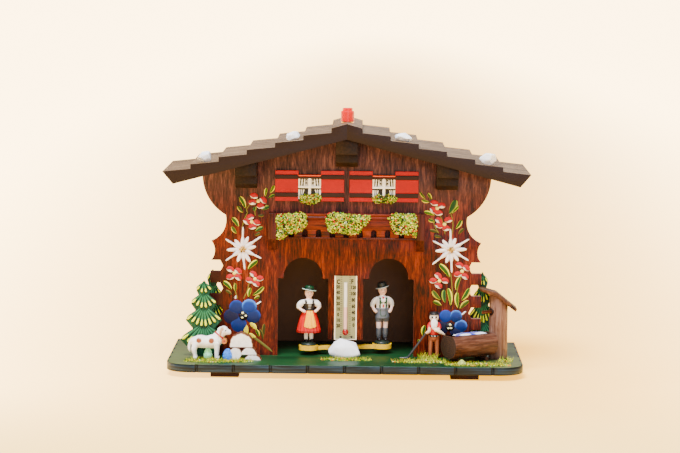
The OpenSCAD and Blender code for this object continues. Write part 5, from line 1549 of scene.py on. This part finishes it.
def add_fir(name, node):
    """Boughs in relief: in each tier green strokes fan out over the board and end in yellow tips."""
    low, high = box_mm(node)
    middle, half = (low[0] + high[0]) / 2, (high[0] - low[0]) / 2
    tall = high[2] - low[2]
    green = (srgb(54, 122, 84), srgb(10, 46, 30))
    yellow = (srgb(230, 240, 60), srgb(140, 186, 40))
    parts = []
    for tier in reversed(range(FIR_TIERS)):
        reach = half * (0.32 + 0.68 * tier / 3)
        level = low[2] + tall * (1 - (tier + 1) * (tier + 6) / 46)
        drop = tall * (0.055 + 0.027 * tier)
        top = np.array([middle, level + tall * (0.12 + 0.035 * tier)])
        for q in np.linspace(-0.92, 0.92, FIR_DABS[tier]):
            end = np.array([middle + reach * q, level + 0.02 * tall - drop * (1 - abs(q) ** 1.5)])
            wide = 0.95 * reach / FIR_DABS[tier]
            line = end + (top - end) * np.array([[0.8], [0.4], [0]])
            parts.append(stroke(line, 1.25 * wide, 0.75, drop_shape, two_tone(*green, 0.6), low[1]))
            dab = tall * (0.06 + 0.02 * tier) / np.linalg.norm(top - end)
            line = end + (top - end) * np.array([[dab], [dab / 2], [0.02]])
            parts.append(stroke(line, 0.84 * wide, 0.6, drop_shape, two_tone(*yellow, 0.85), low[1] - 0.4))
    add_piece(name, parts, flower_paint)


for side in ("front", "back_left", "back_right"):
    board("fir_" + side, fir_green, 0.3)
    add_fir("boughs_" + side, "fir_" + side)


# Windows

def slab(front, back, colour):
    """Two sheets on one grid, joined round their edges."""
    ring = np.concatenate([front, back[:, ::-1]], 1)
    shut = (ring + ring[:, ::-1]) / 2
    paint = np.concatenate([colour, colour[:, ::-1]], 1)
    return shell(np.concatenate([shut[:1], ring, shut[-1:]]), np.concatenate([paint[:1], paint, paint[-1:]]))


CLOTH = srgb(254, 254, 254)
FOLD_SHADE = srgb(34, 32, 42)
WINDOW_X = (box_mm("shutters_right")[0][0] + box_mm("shutters_right")[1][0]) / 2


def curtain(x, z, u, folds, y, dark):
    """One curtain before a pane: cloth that waves along u, with dark lines, on a flat back."""
    front = np.stack([x, y - 0.25 - 0.1 * np.cos(u * folds), z], -1)
    back = front * (1, 0, 1) + (0, y + 0.05, 0)
    return slab(front, back, pick(dark, FOLD_SHADE, CLOTH))


def add_curtains():
    """Curtains in low relief: folded cloth in the upper panes, tied back to the outside in the lower ones."""
    low, high = box_mm("window_panes")
    half_pane = high[0] - WINDOW_X
    bar_z = (low[2] + high[2]) / 2
    u, v = np.meshgrid(np.linspace(0, 1, 30), np.linspace(0, 1, 16), indexing="ij")
    slant = u - 0.12 * v
    lines = (np.abs(slant - 0.08) < 0.08) | (np.abs(slant - 0.36) < 0.08)
    motif = (np.abs(u - 0.74) < 0.15) & (np.abs(v - 0.5) < 0.38)
    motif = motif & (np.sin(u * 40) + np.cos(v * 20) > -0.9)
    folds = (np.abs(u - 0.3) < 0.1) | (np.abs(u - 0.68) < 0.1)
    tied = u * (0.3 + 0.26 * v)
    upper_z = bar_z + 0.5 + (high[2] - bar_z - 1) * v
    lower_z = low[2] + 0.4 + (bar_z - low[2] - 1.2) * v
    parts = []
    for window in (-1, 1):
        for side in (-1, 1):
            x = window * WINDOW_X + side * (0.5 + (half_pane - 1.1) * (1 - u))
            parts.append(curtain(x, upper_z, u, 22, low[1], lines | motif))
            x = window * WINDOW_X + side * (0.5 + (half_pane - 1.1) * (1 - tied))
            parts.append(curtain(x, lower_z, u, 18, low[1], folds))
    add_piece("painted_curtains", parts, flower_paint)


add_curtains()


def level_line(x0, x1, z):
    """A level line from one side to the other."""
    return np.array([(x0, z), ((x0 + x1) / 2, z), (x1, z)])


def across_window(s, half_w, z):
    """A level line over a window, between its sides."""
    return level_line(s * WINDOW_X - half_w, s * WINDOW_X + half_w, z)


# How far the brown strokes lie inside the battens' upper and lower edges
STRIPE_IN = 0.8


def add_stripes():
    """Broad brown strokes over both shutters of each window, level with the battens."""
    low, high = box_mm("shutters_right")
    batten_low, batten_high = box_mm("shutter_battens")
    inner = box_mm("window_frames")[1][0] - WINDOW_X + 0.3
    outer = high[0] - WINDOW_X
    parts = []
    for z in (batten_low[2] + STRIPE_IN, batten_high[2] - STRIPE_IN):
        for s in (-1, 1):
            for side in (-1, 1):
                line = level_line(s * WINDOW_X + side * inner, s * WINDOW_X + side * outer, z)
                parts.append(stroke(line, 1.3, 0.12, bar_shape, plain(srgb(*STRIPE)), low[1], 40))
    add_piece("painted_stripes", parts, flower_paint)


def add_lintel_shadows():
    """A brown stroke of painted shadow over the top rail of each window, with an orange line along its upper
    edge.
    """
    low, high = box_mm("window_frames")
    half_w = high[0] - WINDOW_X + 0.1
    parts = []
    for s in (-1, 1):
        parts.append(stroke(across_window(s, half_w, high[2] - 1.0), 0.95, 0.3, bar_shape,
                            plain(srgb(54, 24, 18)), low[1], 40))
        parts.append(stroke(across_window(s, half_w, high[2] - 0.1), 0.5, 0.45, bar_shape,
                            two_tone(srgb(240, 104, 40), srgb(206, 56, 26), 0.6), low[1], 40))
    add_piece("painted_lintel_shadows", parts, flower_paint)


def add_bars():
    """Broad white strokes over the bars of each window, and a dark line of painted shadow under the cross
    bar.
    """
    y = box_mm("window_frames")[0][1]
    low, high = box_mm("window_panes")
    bar_z = (low[2] + high[2]) / 2
    half_w = high[0] - WINDOW_X
    white = plain(CLOTH)
    parts = []
    for s in (-1, 1):
        # The dark line under the cross bar is painted shadow.
        for z, half, rise, colour in ((bar_z - 0.85, 0.5, 0.1, plain(BLACK)), (bar_z, 0.6, 0.16, white)):
            parts.append(stroke(across_window(s, half_w, z), half, rise, bar_shape, colour, y, 40))
        upright = np.array([(s * WINDOW_X, z) for z in (low[2], bar_z, high[2] - 1)])
        parts.append(stroke(upright, 0.75, 0.2, bar_shape, white, y, 40))
    add_piece("white_bars", parts, flower_paint)


add_lintel_shadows()
add_bars()
add_stripes()
pane_dark = brushed("pane_dark", 300, 0.3, 0.3, 0.03, (26, 26, 32), Coat_Weight=0.1, Coat_Roughness=0.1)
finish_nodes(pane_dark, "window_panes")


# Thermometer

PLATE_LOW, PLATE_HIGH = box_mm("thermometer_plate")
PLATE_Y = PLATE_LOW[1]
BORDER = 0.65


def plate_enamel():
    """Khaki enamel with a cream border, a white strip behind the tube, and rows of fine lines beside it."""
    material, tree, shader = new_material("plate_enamel", Coat_Weight=0.3, Coat_Roughness=0.2)
    place = object_coordinates(tree)
    x, _, z = axes(tree, place)
    across = math_node(tree, "ABSOLUTE", x)
    cloud = noise(tree, place, 300, 4)
    khaki = mix_colour(tree, cloud, srgb(128, 128, 86), srgb(156, 154, 112))
    row = math_node(tree, "FRACT", math_node(tree, "MULTIPLY", z, 1 / (1.02 * MM)))
    beside = math_node(tree, "COMPARE", across, 2.4 * MM, 0.5 * MM)
    line = math_node(tree, "MULTIPLY", beside, math_node(tree, "LESS_THAN", row, 0.45))
    inked = mix_colour(tree, math_node(tree, "MULTIPLY", line, 0.75), khaki, srgb(60, 58, 36))
    edge = ramp(tree, across, (PLATE_HIGH[0] - BORDER - 0.1) * MM, (PLATE_HIGH[0] - BORDER + 0.1) * MM)
    foot = ramp(tree, z, (PLATE_LOW[2] + 0.5) * MM, (PLATE_LOW[2] + 0.4) * MM)
    rim = math_node(tree, "MAXIMUM", edge, foot)
    feed(tree, shader, Base_Color=mix_colour(tree, rim, inked, srgb(246, 228, 198)),
         Roughness=math_node(tree, "MULTIPLY_ADD", cloud, 0.25, 0.25))
    return material


finish_nodes(plate_enamel(), "thermometer_plate")
LETTER_SQUEEZE = 0.8


def label(text, spot, size, colour):
    """Letters as thin solids standing on the plate."""
    data = bpy.data.curves.new("label", "FONT")
    data.body = text
    data.size = size
    data.offset = 0.045 * size
    data.extrude = 0.04
    data.resolution_u = 2
    data.align_x = "CENTER"
    data.align_y = "CENTER"
    letters = bpy.data.objects.new("label", data)
    mesh = bpy.data.meshes.new_from_object(letters)
    mesh.calc_loop_triangles()
    points = np.empty(3 * len(mesh.vertices))
    faces = np.empty(3 * len(mesh.loop_triangles), np.int32)
    mesh.vertices.foreach_get("co", points)
    mesh.loop_triangles.foreach_get("vertices", faces)
    bpy.data.objects.remove(letters)
    bpy.data.curves.remove(data)
    bpy.data.meshes.remove(mesh)
    flat = points.reshape(-1, 3) * (LETTER_SQUEEZE, 1, 1)
    solid = np.stack([flat[:, 0] + spot[0], PLATE_Y - 0.03 - flat[:, 2], flat[:, 1] + spot[1]], -1)
    return solid, faces.reshape(-1, 3), np.broadcast_to(colour, solid.shape)


INK = srgb(14, 14, 8)
C_AT = (400, 235)
F_AT = (672, 230)
LEFT_NUMBERS = (395, 335, 108.5, ("50", "40", "30", "20", "10", "0", "10", "20"))
RIGHT_NUMBERS = (695, 345, 123, ("120", "100", "80", "60", "40", "20", "0"))


def add_numbers():
    """Both scales: a letter above a column of numbers on each side of the tube."""
    parts = [label("C", read_places(SCALE_VIEW, C_AT, PLATE_Y), 3.4, INK),
             label("F", read_places(SCALE_VIEW, F_AT, PLATE_Y), 3.3, INK)]
    for x, first, step, numbers in (LEFT_NUMBERS, RIGHT_NUMBERS):
        places = read_places(SCALE_VIEW, [(x, first + step * k) for k in range(len(numbers))], PLATE_Y)
        parts += [label(text, spot, 2.6, INK) for text, spot in zip(numbers, places)]
    add_piece("scale_numbers", parts, flower_paint, smooth=False)


add_numbers()
PINS = ((440, 1310), (655, 1310))
pin = lump((1.3, 0.7, 1.3), 3, 0.05, 1.0, 12, 16)
pins = [shell(pin + (x, PLATE_Y - 0.1, z), srgb(70, 64, 48))
        for x, z in read_places(SCALE_VIEW, PINS, PLATE_Y)]
add_piece("plate_pins", pins, flower_paint)


SPIRIT_LOW, SPIRIT_HIGH = box_mm("thermometer_spirit")
BULB_TOP = SPIRIT_LOW[2] + 2.6


def tube_glass():
    """Opal glass: white, pale pink beside the column of spirit and red round the bulb."""
    material, tree, shader = new_material("tube_glass", Transmission_Weight=0.2, IOR=1.45, Metallic=0.0,
                                          Coat_Weight=0.5, Coat_Roughness=0.05)
    place = object_coordinates(tree)
    z = axes(tree, place)[2]
    smear = noise(tree, place, 400, 4)
    white = mix_colour(tree, smear, srgb(250, 248, 240), srgb(228, 226, 214))
    filled = ramp(tree, z, (SPIRIT_HIGH[2] + 0.2) * MM, (SPIRIT_HIGH[2] - 0.2) * MM)
    stem = mix_colour(tree, filled, white, srgb(250, 200, 190))
    bulb = ramp(tree, z, (BULB_TOP + 0.5) * MM, (BULB_TOP - 0.3) * MM)
    feed(tree, shader, Base_Color=mix_colour(tree, bulb, stem, srgb(166, 2, 8)),
         Roughness=math_node(tree, "MULTIPLY_ADD", smear, 0.15, 0.1))
    return material


finish_nodes(tube_glass(), "thermometer_tube")
finish_nodes(brushed("spirit", 200, 0.15, 0.5, 0.01, (214, 60, 58), Coat_Weight=0.5), "thermometer_spirit")


# Trough and well

TROUGH_TURN = math.radians(36)
TROUGH_LOW, TROUGH_HIGH = box_mm("trough_log")
TROUGH_MID = (TROUGH_LOW + TROUGH_HIGH) / 2
TROUGH_GRAIN = Matrix.Rotation(math.pi / 2, 3, "Y") @ Matrix.Rotation(-TROUGH_TURN, 3, "Z")
ALONG_TROUGH = tuple(TROUGH_GRAIN.to_euler())
TROUGH_WAY = (math.cos(TROUGH_TURN), math.sin(TROUGH_TURN), 0)


def trough_ends(tree, colour):
    """Sawn ends: dark rings about the log's middle."""
    place = own(tree, "Object")
    inputs = {0: own(tree, "Normal"), 1: TROUGH_WAY}
    along = wire(tree, "ShaderNodeVectorMath", inputs, operation="DOT_PRODUCT").outputs["Value"]
    end = ramp(tree, math_node(tree, "ABSOLUTE", along), 0.7, 0.9)
    inputs = {"Vector": place, "Location": tuple(TROUGH_MID * MM), "Rotation": (0, 0, TROUGH_TURN),
              "Scale": (1e6, 1, 1)}
    local = wire(tree, "ShaderNodeMapping", inputs, vector_type="TEXTURE").outputs[0]
    reach = wire(tree, "ShaderNodeVectorMath", {0: local}, operation="LENGTH").outputs["Value"]
    wobble = math_node(tree, "MULTIPLY_ADD", noise(tree, place, 300, 3), 0.0016, reach)
    rings = math_node(tree, "SINE", math_node(tree, "MULTIPLY", wobble, TURN / (1.1 * MM)))
    share = math_node(tree, "MULTIPLY_ADD", rings, 0.5, 0.5)
    return mix_colour(tree, end, colour, mix_colour(tree, share, srgb(46, 34, 28), srgb(76, 60, 50)))


trough_bark = wood("trough_bark", ALONG_TROUGH, 700, 0.5, (60, 36, 28), (104, 68, 52), (136, 98, 80),
                   relief_mm=0.3, cover=trough_ends, stretch=0.12)
post_wood = wood("post_wood", ALONG_Z, 700, 0.6, (92, 62, 50), (134, 100, 85), (166, 134, 118),
                 relief_mm=0.25, stretch=0.1)
bark_board = wood("bark_board", ALONG_Y, 420, 0.6, (58, 36, 24), (104, 66, 42), (140, 98, 68), relief_mm=0.25)
spout_wood = wood("spout_wood", ALONG_TROUGH, 500, 0.5, (70, 36, 20), (124, 70, 44), (164, 108, 78),
                  relief_mm=0.1)
board("trough_log", trough_bark, 0.4)
board("well_post", post_wood, 0.3)
board("well_roof", bark_board, 0.3)
finish_nodes(trough_bark, "trough_bearers")
finish_nodes(spout_wood, "well_spout")
WATER_SIZE = (24.4, 6.9)
water_paint = brushed("water_paint", 300, 0.15, 0.45, 0.05, Coat_Weight=0.5, Coat_Roughness=0.05)


def add_water():
    """Water in the trough: a slab whose top is rippled and bulges along the middle."""
    low, high = box_mm("trough_water")
    length, width = WATER_SIZE
    u, v = np.meshgrid(np.linspace(-1, 1, 60), np.linspace(-1, 1, 24), indexing="ij")
    ripple = waves(np.stack([u * 6, v * 3, 0 * u], -1), 17, 1.6)
    top = high[2] + 0.15 * ripple * (1 - u**2) * (1 - v**2) + 1.5 * (1 - u**4) * (1 - v**2) - 0.1
    local = np.stack([u * length / 2, v * width / 2, top - TROUGH_MID[2]], -1)
    front = local @ about_z(TROUGH_TURN) + TROUGH_MID
    back = front * (1, 1, 0) + (0, 0, low[2] + 0.02)
    colour = blend(0.5 + 1.1 * ripple, srgb(66, 74, 186), srgb(240, 240, 250))
    add_piece("rippled_water", [slab(front, back, colour)], water_paint,
              instead=("trough_water",))


add_water()
SHADE_RING_RADIUS = 1.5


def add_spout_shade_ring():
    """A dark ring of painted shade round the spout where it enters the post, square to the spout."""
    low, high = box_mm("well_post")
    spout_low, spout_high = box_mm("well_spout")
    radius = (high[0] - low[0]) / 2
    way = np.array(TROUGH_WAY)
    centre = (low + high) / 2 - radius * way
    centre[2] = (spout_low[2] + spout_high[2]) / 2
    angle = around(40)[:, None]
    across = np.cross(way, (0, 0, 1))
    path = centre + SHADE_RING_RADIUS * (np.cos(angle) * across + np.sin(angle) * np.array([0, 0, 1]))
    add_piece("spout_shade_ring", [shell(closed_tube(path, 0.5), srgb(36, 16, 12))], flower_paint)


add_spout_shade_ring()


# Metal and gut

def metal(name, dark, light, roughness):
    """Turned metal with fine marks."""
    material, tree, shader = new_material(name, Metallic=1.0)
    marks = noise(tree, object_coordinates(tree), 2500, 3)
    feed(tree, shader, Base_Color=mix_colour(tree, marks, srgb(*dark), srgb(*light)),
         Roughness=math_node(tree, "MULTIPLY_ADD", marks, 0.2, roughness))
    return material


finish_nodes(metal("brass", (170, 124, 50), (214, 172, 92), 0.22), "ridge_bush", "stem_collar")
finish_nodes(metal("steel", (120, 122, 126), (176, 178, 182), 0.25), "knob_stem", "beam_spindle")
finish_nodes(brushed("gut", 900, 0.3, 0.3, 0.03, (206, 178, 128)), "gut_strand")

finish_nodes(shutter_red, "shutters_left", "shutters_right")
finish_nodes(stripe_brown, "shutter_battens")
finish_nodes(window_white, "window_frames")
finish_nodes(chimney_red, "chimney_knob")
finish_nodes(beam_yellow, "figure_beam")
